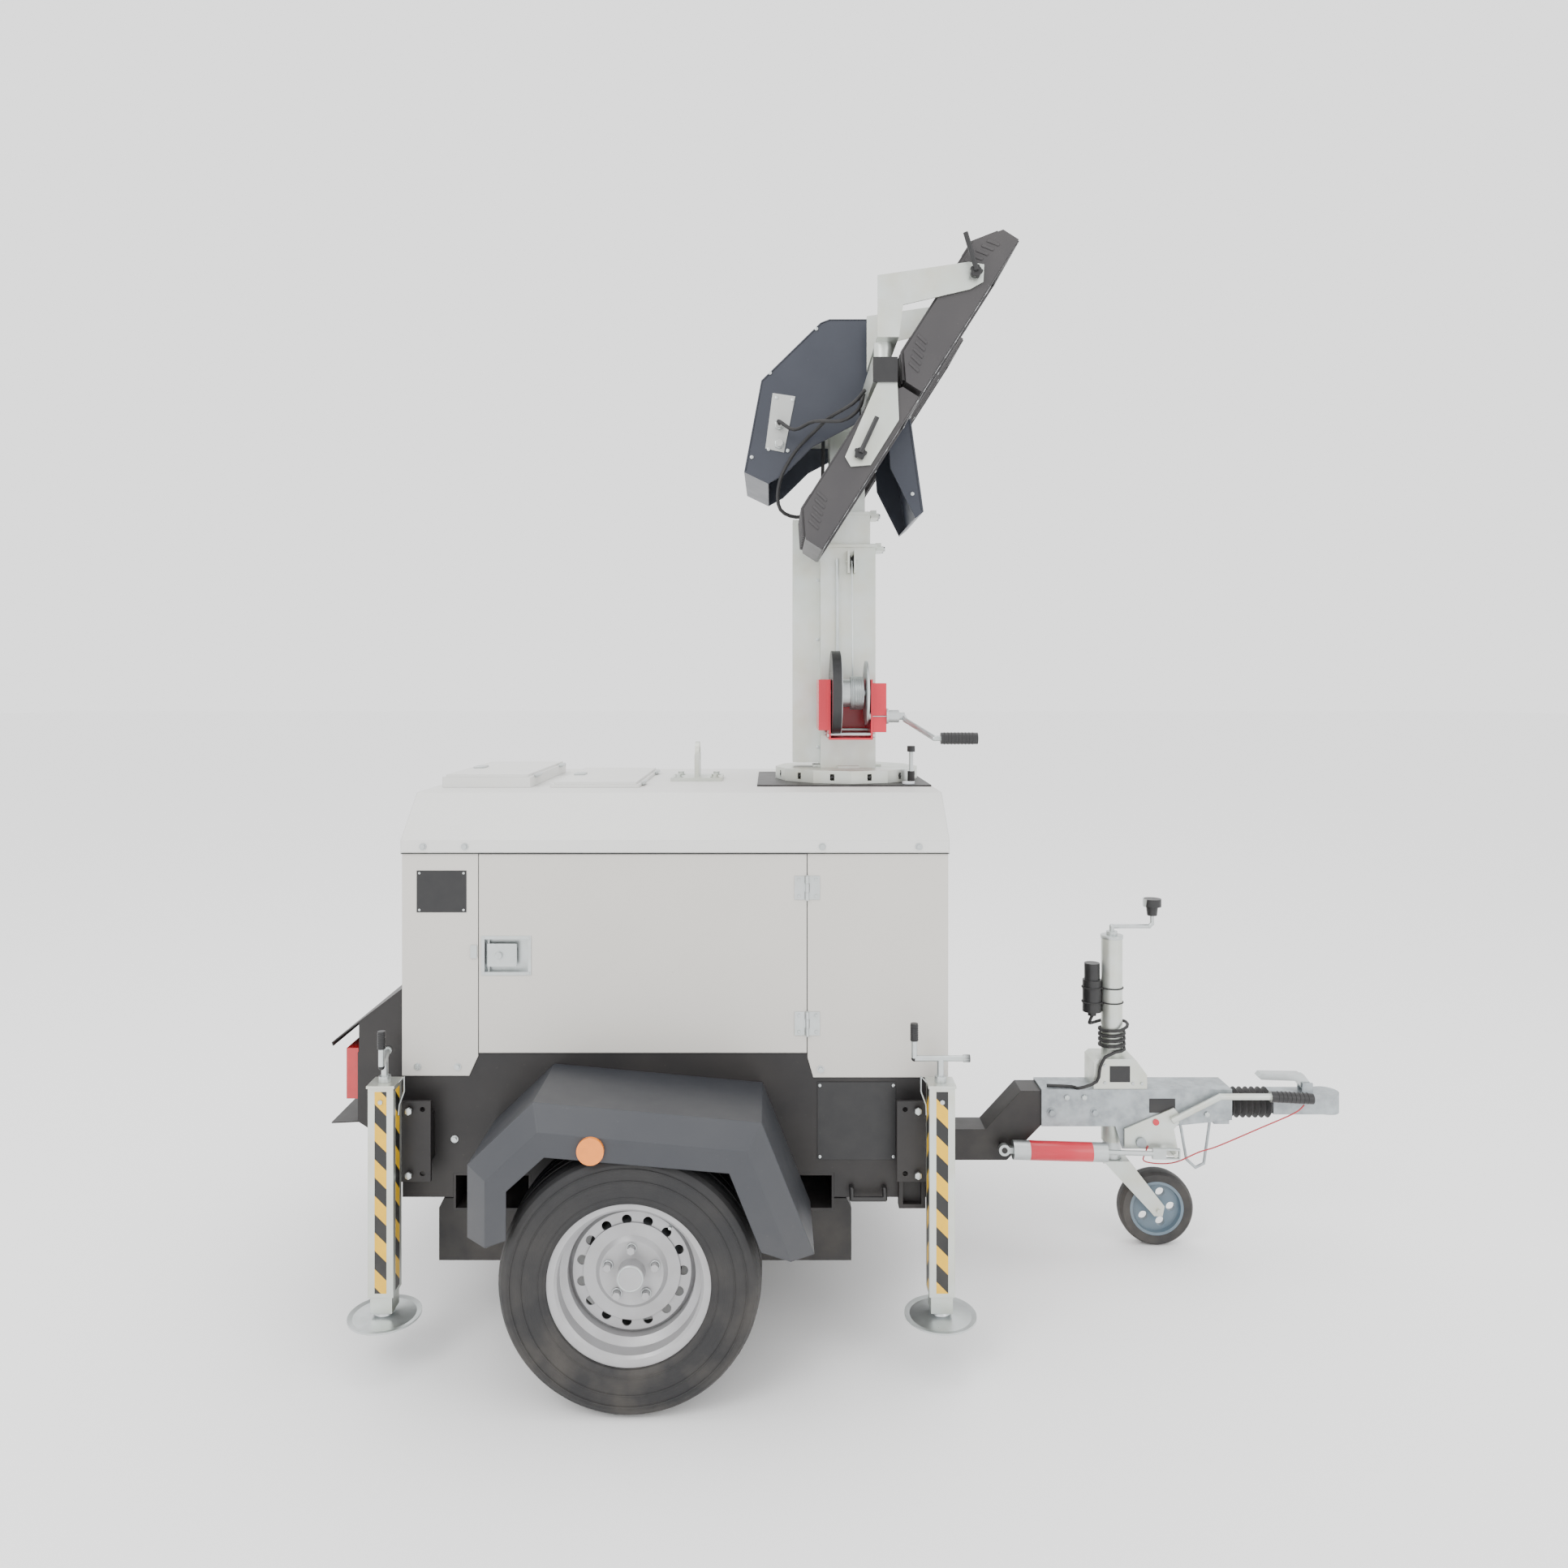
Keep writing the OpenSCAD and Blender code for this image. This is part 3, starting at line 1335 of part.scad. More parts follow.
lever_x = housing_x + 281;
lever_z = 315;
lever_y = housing_half + 2;
lever_t = 6;
link_x = lever_x + 88;
link_z = lever_z - 25;
cylinder_y = housing_half + 30;

module overrun_housing() {
    h = housing_half;
    z0 = skirt_bottom - 9;
    color("#a8acae") {
        difference() {
            plate_xz([
                [housing_x, z0], [lever_x - 70, z0], [lever_x - 50, lever_z - 22],
                [lever_x + 40, lever_z - 22], [lever_x + 90, z0], [housing_end, z0 + 18],
                [housing_end, housing_top], [housing_x, housing_top]
            ], -h, h);
            box([housing_x - over, 6 - h, z0 - 90], [housing_end + over, h - 6, housing_top - 6]);
            translate([jockey_x, 0, 400]) cylinder(r = jockey_tube_r + seat, h = 100);
        }
        for (x = [jockey_x + 90, housing_end - 50]) difference() {
            box([x, 6 - h, z0 + 4], [x + 44, h - 6, housing_top - 6]);
            along_x(x - over, 0, shaft_z) cylinder(r = shaft_r + fit, h = 50);
        }
        along_y(lever_x, -lever_y - lever_t - 2, lever_z) cylinder(r = 8, h = lever_t + 4);
        along_y(lever_x, -lever_y - lever_t - 8, lever_z) cylinder(r = 14, h = 6);
        for (x = [housing_x + 29, housing_x + 152])
            translate([x, -h, 397]) rotate([90, 0, 0]) bolt_head(9);
    }
    color("#55585a") bent_rod([
        [housing_end - 62, 3 - h, z0 + 20], [housing_end - 80, 3 - h, z0 - 107],
        [housing_end - 104, 3 - h, z0 - 119], [housing_end - 130, 3 - h, z0 - 95],
        [housing_end - 150, 3 - h, z0 + 20]
    ], 4);
}

module bellows() {
    turns = 7;
    step = bellows_len / turns;
    color("#1c1c1e") along_x(housing_end, 0, shaft_z) rotate_extrude($fn = 64) polygon(concat(
        [for (i = [0 : turns - 1]) each [[33, i * step], [43, (i + 0.5) * step]]],
        [[33, bellows_len], [shaft_r + 2, bellows_len], [shaft_r + 2, 0]]
    ));
}

module coupling_head() {
    x0 = head_x + seat;
    shaft_x = jockey_x + 116;
    ball_x = front_reach - 38;
    color("#c3c7c8") {
        along_x(shaft_x, 0, shaft_z) cylinder(r = shaft_r, h = x0 + 20 - shaft_x);
        difference() {
            union() {
                box([x0, -33, 384], [ball_x, 33, 440]);
                translate([ball_x, 0, 384]) cylinder(r = 38, h = 56);
            }
            translate([ball_x, 0, 384 - over]) cylinder(r = socket_r, h = 37);
            box([x0 + 60, -27, 384 - over], [ball_x - 45, 27, 428]);
        }
        for (y = [-18, 12]) box([ball_x - 72, y, 440], [ball_x - 42, y + 6, 468]);
        along_y(ball_x - 57, -18, 456) cylinder(r = 5, h = 36);
    }
}

module coupling_handle() {
    ball_x = front_reach - 38;
    color("#c3c7c8") difference() {
        union() {
            plate_xz([
                [ball_x - 46, 447], [ball_x - 46, 466], [ball_x - 64, 490], [ball_x - 90, 490],
                [ball_x - 90, 476], [ball_x - 68, 447]
            ], -11, 11);
            plate_xz([
                [ball_x - 74, 473], [ball_x - 74, 493], [ball_x - 190, 495],
                [ball_x - 198, 486], [ball_x - 190, 477]
            ], -14, 14);
        }
        along_y(ball_x - 57, -12, 456) cylinder(r = 5 + fit, h = 24);
    }
}

// ---------------------------------------------------------------- jockey wheel

clamp_top = housing_top + 86;

module jockey_outer_tube() {
    x = jockey_x;
    color("#c3c6c4") {
        difference() {
            union() {
                translate([x, 0, housing_top - 162]) cylinder(r = jockey_tube_r, h = jockey_top - housing_top + 162);
                plate_xz([
                    [x - 66, housing_top], [x + 87, housing_top], [x + 87, housing_top + 40],
                    [x + 56, clamp_top - 4], [x + 40, clamp_top], [x - 54, clamp_top],
                    [x - 66, clamp_top - 10]
                ], -48, 48);
            }
            translate([x, 0, housing_top - 200]) cylinder(r = 26.4, h = jockey_top - housing_top + 190);
            translate([x, 0, jockey_top - 20]) cylinder(r = screw_r, h = 40);
            difference() {
                box([x - 62, -44, housing_top - over], [x + 83, 44, clamp_top - 16]);
                translate([x, 0, housing_top - 10]) cylinder(r = jockey_tube_r, h = 100);
            }
        }
    }
}

jockey_screw_r = 7;

module jockey_inner_tube() {
    translate([jockey_x, 0, 0]) color("#b4b8b8") difference() {
        translate([0, 0, 250]) cylinder(r = 26, h = 390);
        translate([0, 0, 290]) cylinder(r = 22, h = 330);
        translate([0, 0, 600]) cylinder(r = jockey_screw_r + seat, h = 60);
        translate([0, 0, 240]) cylinder(r = 10 + fit, h = 60);
    }
}

module jockey_fork() {
    x = jockey_x;
    wx = jockey_x + jockey_trail;
    color("#b9bdba") {
        translate([x, 0, 243]) cylinder(r = 10, h = 44);
        box([x - 34, -34, 243], [x + 41, 34, 249.5]);
        for (y = [-34, 30]) plate_xz([
            [x - 34, 249.5], [x + 41, 249.5], [wx + 18, jockey_r + 12], [wx + 12, jockey_r - 16],
            [wx - 12, jockey_r - 16], [wx - 22, jockey_r - 4]
        ], y, y + 4);
        along_y(wx, -40, jockey_r) cylinder(r = 6, h = 80);
    }
}

module jockey_wheel() {
    translate([jockey_x + jockey_trail, 25, jockey_r]) rotate([90, 0, 0]) {
        color("#1c1c1e") rotate_extrude($fn = 80) polygon([
            [jockey_r - 30 + seat, 4], [jockey_r - 9, 0], [jockey_r - 2, 8], [jockey_r, 18],
            [jockey_r, 32], [jockey_r - 2, 42], [jockey_r - 9, 50],
            [jockey_r - 30 + seat, 46]
        ]);
        color("#5f717e") difference() {
            rotate_extrude($fn = 80) polygon([
                [6 + fit, 2], [20, 2], [22, 18], [jockey_r - 40, 18], [jockey_r - 38, 4],
                [jockey_r - 30, 4], [jockey_r - 30, 46], [jockey_r - 38, 46],
                [jockey_r - 40, 32], [22, 32], [20, 48], [6 + fit, 48]
            ]);
            for (a = [0 : 72 : 359]) rotate(a)
                translate([44, 0, -over]) cylinder(r = 13, h = 60);
        }
    }
}

module jockey_crank() {
    arm = 117;
    z = jockey_top + 26;
    translate([jockey_x, 0, 0]) {
        color("#bfc2c2") {
            translate([0, 0, 400]) cylinder(r = jockey_screw_r, h = z - 400);
            translate([0, 0, jockey_top + seat]) cylinder(r = 16, h = 12);
            rod([0, 0, z], [arm - 8, 0, z], 6);
            rod([arm - 8, 0, z], [arm, 0, z + 8], 6);
            translate([arm - 8, 0, z]) sphere(r = 6.3);
            translate([0, 0, z]) sphere(r = jockey_screw_r + 0.3);
            translate([arm, 0, z + 4]) cylinder(r = 6, h = 28);
        }
        color("#1a1a1b") {
            translate([arm, 0, z + 32]) cylinder(r1 = 14, r2 = 17, h = 26, $fn = 24);
            translate([arm, 0, z + 58]) cylinder(r = 26, h = 22);
        }
    }
}

lead_r = 4.5;
plug_x = jockey_x - 57.4;

module trailer_plug() {
    color("#1b1b1c") {
        translate([plug_x, 0, 672]) cylinder(r = 27, h = 92);
        translate([plug_x, 0, 764]) cylinder(r = 22, h = 48);
        translate([plug_x, 0, 660]) cylinder(r = 12, h = 12);
    }
}

module trailer_lead() {
    turns = 4;
    pitch = 15;
    r = (jockey_tube_r + lead_r + seat) / cos(180 / 12);
    z0 = clamp_top + 16;
    steps = 12;
    coil = [for (i = [0 : turns * steps])
        let (a = -90 + 360 * i / steps)
        [jockey_x + r * cos(a), r * sin(a), z0 + pitch * i / steps]];
    lay_z = housing_top + lead_r + seat;
    run = smooth_route([
        [housing_x + 20, -30, lay_z], [housing_x + 90, -40, lay_z],
        [jockey_x - 110, -56, lay_z + 1], [jockey_x - 60, -57, lay_z + 20],
        [jockey_x - 50, -57, clamp_top - 20], [jockey_x - 36, -56, clamp_top + 8]
    ], 3);
    up = smooth_route([
        coil[len(coil) - 1] + [14, 0, 2], [jockey_x + 36, -26, z0 + pitch * turns + 10],
        [jockey_x + 44, 12, z0 + pitch * turns + 14],
        [jockey_x + 10, 50, z0 + pitch * turns + 12], [jockey_x - 40, 40, z0 + pitch * turns + 4],
        [jockey_x - 62, 12, z0 + pitch * turns + 10], [plug_x, 0, 657.5]
    ], 2);
    color("#1b1b1c") swept_cord(concat(run, coil, up), lead_r, [0, 0, 1]);
}

// ---------------------------------------------------------------- handbrake

module handbrake_lever() {
    y0 = -lever_y - lever_t;
    p = [lever_x, lever_z];
    color("#c6cac8") {
        difference() {
            plate_xz([
                p + [-46, -16], p + [56, -22], p + [78, -40], p + [102, -40], p + [106, -20],
                p + [95, 37], p + [109, 53], p + [109, 81], p + [95, 97], p + [-46, 37]
            ], y0, y0 + lever_t);
            along_y(p[0], y0 - over, p[1]) cylinder(r = 8 + fit, h = lever_t + 2 * over);
        }
        along_y(link_x, -cylinder_y - 12, link_z) cylinder(r = 6, h = cylinder_y + 12 + y0);
        bent_rod([
            [p[0] + 86, y0 - 7.5, p[1] + 63], [p[0] + 224, y0 - 7.5, p[1] + 132],
            [p[0] + 380, y0 - 7.5, p[1] + 132]
        ], 9);
    }
    color("#1a1a1b") rod([p[0] + 366, y0 - 7.5, p[1] + 132], [p[0] + 487, y0 - 7.5, p[1] + 126], 15);
}

module breakaway_cable() {
    y = -lever_y - lever_t;
    x = lever_x;
    z = lever_z;
    color("#c0313a") swept_cord(smooth_route([
        [x + 20, y - 2.3, z - 10], [x + 12, y - 3, z - 30], [x + 8, y - 3, z - 52],
        [x + 50, y - 3, z - 60], [x + 100, y - 6, z - 54], [x + 160, y - 16, z - 22],
        [x + 210, y - 24, z - 2], [x + 330, y - 22, z + 48], [x + 430, y - 16, z + 88],
        [x + 462, y - 9, z + 109]
    ], 4), 2, [1, 0, 0]);
}

module brake_spring_cylinder() {
    px = housing_x - 113;
    pz = drawbar_z + 45;
    slope = atan2(link_z - pz, link_x - px);
    reach = norm([link_x - px, link_z - pz]);
    slot = 24;
    translate([px, -cylinder_y, pz]) rotate([0, -slope, 0]) {
        color("#c7cacb") {
            difference() {
                union() {
                    translate([0, -8, 0]) rotate([-90, 0, 0]) cylinder(r = 16, h = 16);
                    translate([10, -8, -8]) cube([20, 16, 16]);
                }
                rotate([-90, 0, 0]) translate([0, 0, -20]) cylinder(r = 8 + fit, h = 40);
            }
            rotate([0, 90, 0]) translate([0, 0, 24]) cylinder(r = 26.5, h = 266);
            rotate([0, 90, 0]) translate([0, 0, 290]) cylinder(r = 7, h = reach - slot - 36 - 290);
            difference() {
                translate([reach - slot - 38, -5, -15]) cube([slot + 54, 10, 30]);
                translate([reach - slot, -6, -11]) cube([slot + 12, 12, 22]);
            }
        }
    }
}

at_axle() chassis_frame();
at_axle() fork_pockets();
at_axle() axle_beam();
at_axle() drawbar();
at_axle() overrun_housing();
at_axle() canopy_panels();
at_axle() canopy_roof();
at_axle() lifting_eye();
at_axle() mudguards();
at_axle() marker_lights();
at_axle() panel_hardware();
at_axle() tail_cover();
at_axle() stabiliser_tubes();
at_axle() power_unit();
at_axle() jockey_outer_tube();
at_axle() trailer_lead();
at_axle() trailer_plug();
at_axle() bellows();
at_axle() door_right();
at_axle() door_left();
at_axle() latch_right();
at_axle() latch_left();
at_axle() tyre_right();
at_axle() tyre_left();
at_axle() rim_right();
at_axle() rim_left();
at_axle() leg_front_right();
at_axle() leg_front_left();
at_axle() leg_rear_right();
at_axle() leg_rear_left();
at_axle() leg_crank_front_right();
at_axle() leg_crank_front_left();
at_axle() leg_crank_rear_right();
at_axle() leg_crank_rear_left();
at_axle() mast_section_1();
at_axle() mast_section_2();
at_axle() mast_section_3();
at_axle() mast_fittings();
at_axle() winch_frame();
at_axle() winch_drum();
at_axle() winch_crank();
at_axle() winch_rope();
at_axle() slew_lock_pin();
at_axle() lamp_crossbar();
at_axle() head_cover();
at_axle() head_cable_loop();
at_axle() head_cable_gland();
at_axle() lamp_upper_right();
at_axle() lamp_upper_left();
at_axle() lamp_lower_right();
at_axle() lamp_lower_left();
at_axle() jockey_inner_tube();
at_axle() jockey_fork();
at_axle() jockey_wheel();
at_axle() jockey_crank();
at_axle() handbrake_lever();
at_axle() breakaway_cable();
at_axle() brake_spring_cylinder();
at_axle() coupling_head();
at_axle() coupling_handle();
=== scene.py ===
"""Looks of a mobile lighting tower trailer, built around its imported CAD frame."""

import logging
import math
from dataclasses import dataclass
from enum import Enum
from typing import Callable, Iterable, Sequence

import bmesh
import bpy
from mathutils import Matrix, Vector


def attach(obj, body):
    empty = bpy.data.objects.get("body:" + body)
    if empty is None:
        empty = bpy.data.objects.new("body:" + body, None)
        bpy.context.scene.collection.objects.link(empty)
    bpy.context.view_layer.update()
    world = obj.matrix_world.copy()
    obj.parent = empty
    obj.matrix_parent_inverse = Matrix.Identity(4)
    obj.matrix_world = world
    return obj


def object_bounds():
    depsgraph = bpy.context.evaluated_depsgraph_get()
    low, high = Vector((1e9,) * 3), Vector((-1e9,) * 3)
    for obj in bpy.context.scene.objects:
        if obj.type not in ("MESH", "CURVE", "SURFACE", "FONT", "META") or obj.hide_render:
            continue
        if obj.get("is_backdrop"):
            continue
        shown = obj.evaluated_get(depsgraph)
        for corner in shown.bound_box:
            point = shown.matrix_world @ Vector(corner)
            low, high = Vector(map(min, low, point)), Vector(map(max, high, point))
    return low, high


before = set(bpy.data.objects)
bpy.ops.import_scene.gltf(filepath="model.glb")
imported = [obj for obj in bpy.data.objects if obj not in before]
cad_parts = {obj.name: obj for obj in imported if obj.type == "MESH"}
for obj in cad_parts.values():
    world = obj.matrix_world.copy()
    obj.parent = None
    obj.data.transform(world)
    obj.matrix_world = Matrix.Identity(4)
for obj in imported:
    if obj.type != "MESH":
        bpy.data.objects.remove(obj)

logging.basicConfig(level=logging.INFO, format="%(message)s")
LOG = logging.getLogger("lighting_tower")

MM = 0.001
AXLE_X = -592.0
"""Station of the axle in the row frame, in millimetres."""
TRAILER = "trailer"


def at(x: float, y: float, z: float) -> Vector:
    """Turns a place in the axle's frame into the row frame.

    Args:
        x: millimetres forward of the axle.
        y: millimetres to the left of the middle plane.
        z: millimetres above the ground.

    Returns:
        The same place in metres in the row frame.
    """
    return Vector(((x + AXLE_X) * MM, y * MM, z * MM))


def srgb(code: str) -> tuple[float, float, float, float]:
    """Turns a hex sRGB colour into linear light.

    Args:
        code: six hex digits after a hash sign.

    Returns:
        Linear red, green, blue and an alpha of one.
    """
    parts = [int(code[i : i + 2], 16) / 255 for i in (1, 3, 5)]
    linear = [c / 12.92 if c <= 0.04045 else ((c + 0.055) / 1.055) ** 2.4 for c in parts]
    return (linear[0], linear[1], linear[2], 1.0)


class Surface(Enum):
    """Which pattern a finish adds to its base colour."""

    PAINT = "paint"
    ZINC = "zinc"
    GALVANISED = "galvanised"
    RUBBER = "rubber"
    TAPE = "tape"
    LENS = "lens"
    TREAD = "tread"


@dataclass(frozen=True)
class Finish:
    """One real finish and how it looks.

    Attributes:
        name: what the material is called.
        colour: hex sRGB base colour.
        surface: the pattern laid over the base colour.
        metallic: 0 for paint and plastic, near 1 for bare metal.
        roughness: mean roughness.
        patch_mm: size of the patches of colour.
        contrast: how far the patches leave the base colour.
        grain_mm: size of the surface grain.
        bump: height of the grain in millimetres.
        edge_mm: radius that shading gives to sharp edges.
        coat: strength of a clear coat.
        second: hex sRGB colour that the patches lean to.
    """

    name: str
    colour: str
    surface: Surface = Surface.PAINT
    metallic: float = 0.0
    roughness: float = 0.4
    patch_mm: float = 160.0
    contrast: float = 0.12
    grain_mm: float = 3.0
    bump: float = 0.05
    edge_mm: float = 1.5
    coat: float = 0.0
    second: str = "#8b8478"


# Powder-coated sheet steel of the canopy: warm light grey, faint orange peel.
PANEL = Finish("canopy_powder_coat", "#c6c3bd", roughness=0.36, contrast=0.04, grain_mm=2.2, bump=0.03, edge_mm=3)
# The roof is nearly white and a little duller.
ROOF = Finish("roof_powder_coat", "#d6d6d3", roughness=0.42, contrast=0.04, grain_mm=2.2, bump=0.03, edge_mm=5)
# Black textured chassis paint with road dust.
CHASSIS = Finish("chassis_paint", "#171516", roughness=0.5, contrast=0.1, grain_mm=1.6, bump=0.08, second="#5a534c", edge_mm=2)
# Dark slate moulded mudguards.
GUARD = Finish("moulded_guard", "#303237", roughness=0.45, contrast=0.08, grain_mm=1.2, bump=0.05, second="#5b5a58", edge_mm=4)
# Zinc plate with yellow and green passivation.
ZINC = Finish("zinc_passivate", "#cdd1cd", Surface.ZINC, 0.8, 0.32, 70, 0.35, 1.4, 0.02, 1.2, second="#bdb596")
# The same plating on turned and stamped hardware, colder in tone.
BRIGHT = Finish("bright_zinc", "#c3c7c8", Surface.ZINC, 0.85, 0.28, 30, 0.25, 1.0, 0.015, 0.8, second="#9a9d98")
# Hot-dip galvanised casting with grey-blue spangle.
GALVANISED = Finish("hot_dip_galvanised", "#a4a9ac", Surface.GALVANISED, 0.7, 0.44, 22, 0.5, 2.5, 0.06, 1.5, second="#6f777c")
# Dark grey lamp casting.
LAMP = Finish("lamp_casting", "#333133", roughness=0.46, contrast=0.08, grain_mm=1.2, bump=0.05, edge_mm=2, second="#706b66")
# Slate satin paint of the head cover.
SLATE = Finish("head_cover_paint", "#2b2f3a", roughness=0.38, contrast=0.1, grain_mm=2, bump=0.03, edge_mm=4, second="#5d606a")
# Red winch paint, chipped at its edges.
RED = Finish("winch_red_paint", "#c8102e", roughness=0.32, contrast=0.14, grain_mm=2, bump=0.03, coat=0.3, second="#7d0c1c")
# Silver wheel paint.
RIM = Finish("wheel_silver", "#a9a9ab", metallic=0.35, roughness=0.38, contrast=0.2, patch_mm=60, second="#6f6a64")
# Tyre side wall and tread.
TYRE = Finish("tyre_rubber", "#18181a", Surface.TREAD, 0.0, 0.6, 70, 0.1, 1.0, 0.15, 2, second="#45413c")
RUBBER = Finish("black_rubber", "#1d1d1f", Surface.RUBBER, roughness=0.62, contrast=0.2, patch_mm=40, grain_mm=0.8, second="#4c4945")
PLASTIC = Finish("black_plastic", "#18181a", roughness=0.42, contrast=0.12, patch_mm=40, grain_mm=0.9, bump=0.04, second="#3f3d3b")
RED_LENS = Finish("red_lens", "#b5121b", Surface.LENS, roughness=0.16, contrast=0.15, patch_mm=25, coat=0.6, second="#6e0a10")
AMBER_LENS = Finish("amber_lens", "#e8820e", Surface.LENS, roughness=0.18, contrast=0.15, patch_mm=18, coat=0.6, second="#9a4b05")
GLASS = Finish("lamp_lens", "#d9dde0", Surface.LENS, roughness=0.12, contrast=0.06, patch_mm=60, coat=0.5, second="#aab2b8")
BLUE_GREY = Finish("jockey_rim", "#5f717e", roughness=0.45, contrast=0.15, patch_mm=30, second="#3f4a52")
MACHINE = Finish("machine_paint", "#4c5054", roughness=0.5, contrast=0.2)
RED_CORD = Finish("red_coated_wire", "#b3303a", roughness=0.45, contrast=0.1, patch_mm=20, second="#6f1a20")
TAPE = Finish("hazard_tape", "#e6b414", Surface.TAPE, roughness=0.4, contrast=0.12, patch_mm=30, edge_mm=0.2, second="#8a6b0c")
GREY_PLATE = Finish("pale_plate", "#b9bbb9", roughness=0.4, contrast=0.12, patch_mm=60)

_built: dict[str, bpy.types.Material] = {}


def add_node(tree: bpy.types.NodeTree, kind: str, inputs: dict | None = None, **settings) -> bpy.types.Node:
    """Adds one shader node and connects it.

    Args:
        tree: the material's node tree.
        kind: the node type's name after "ShaderNode".
        inputs: values or output sockets, by input name or number.
        settings: properties of the node itself.

    Returns:
        The new node.
    """
    new = tree.nodes.new("ShaderNode" + kind)
    for key, value in settings.items():
        setattr(new, key, value)
    for key, value in (inputs or {}).items():
        if isinstance(value, bpy.types.NodeSocket):
            tree.links.new(value, new.inputs[key])
        else:
            new.inputs[key].default_value = value
    return new


def maths(tree: bpy.types.NodeTree, operation: str, *values) -> bpy.types.NodeSocket:
    """Adds a Math node.

    Args:
        tree: the material's node tree.
        operation: the Math node's operation.
        values: numbers or sockets, in order.

    Returns:
        The node's output socket.
    """
    return add_node(tree, "Math", dict(enumerate(values)), operation=operation).outputs[0]


def noise(tree: bpy.types.NodeTree, place: bpy.types.NodeSocket, size_mm: float, detail: float = 4) -> bpy.types.NodeSocket:
    """Adds a noise whose patches are about size_mm across.

    Args:
        tree: the material's node tree.
        place: coordinates in metres.
        size_mm: size of one patch.
        detail: number of finer layers.

    Returns:
        The noise's factor.
    """
    return add_node(tree, "TexNoise", {"Vector": place, "Scale": 1 / (size_mm * MM), "Detail": detail}).outputs[0]


def mixed(tree: bpy.types.NodeTree, factor, first, second) -> bpy.types.NodeSocket:
    """Mixes two colours.

    Args:
        tree: the material's node tree.
        factor: number or socket, 0 for the first colour.
        first: colour or socket.
        second: colour or socket.

    Returns:
        The mixed colour's socket.
    """
    node = add_node(tree, "Mix", {0: factor, 6: first, 7: second}, data_type="RGBA")
    return node.outputs[2]


def ramp(tree: bpy.types.NodeTree, value: bpy.types.NodeSocket, low: float, high: float, to: float = 1.0) -> bpy.types.NodeSocket:
    """Maps a value from low..high to 0..to, held at the ends.

    Args:
        tree: the material's node tree.
        value: the socket to map.
        low: value that gives 0.
        high: value that gives to.
        to: largest output.

    Returns:
        The mapped value's socket.
    """
    return add_node(tree, "MapRange", {"Value": value, "From Min": low, "From Max": high, "To Max": to}).outputs[0]


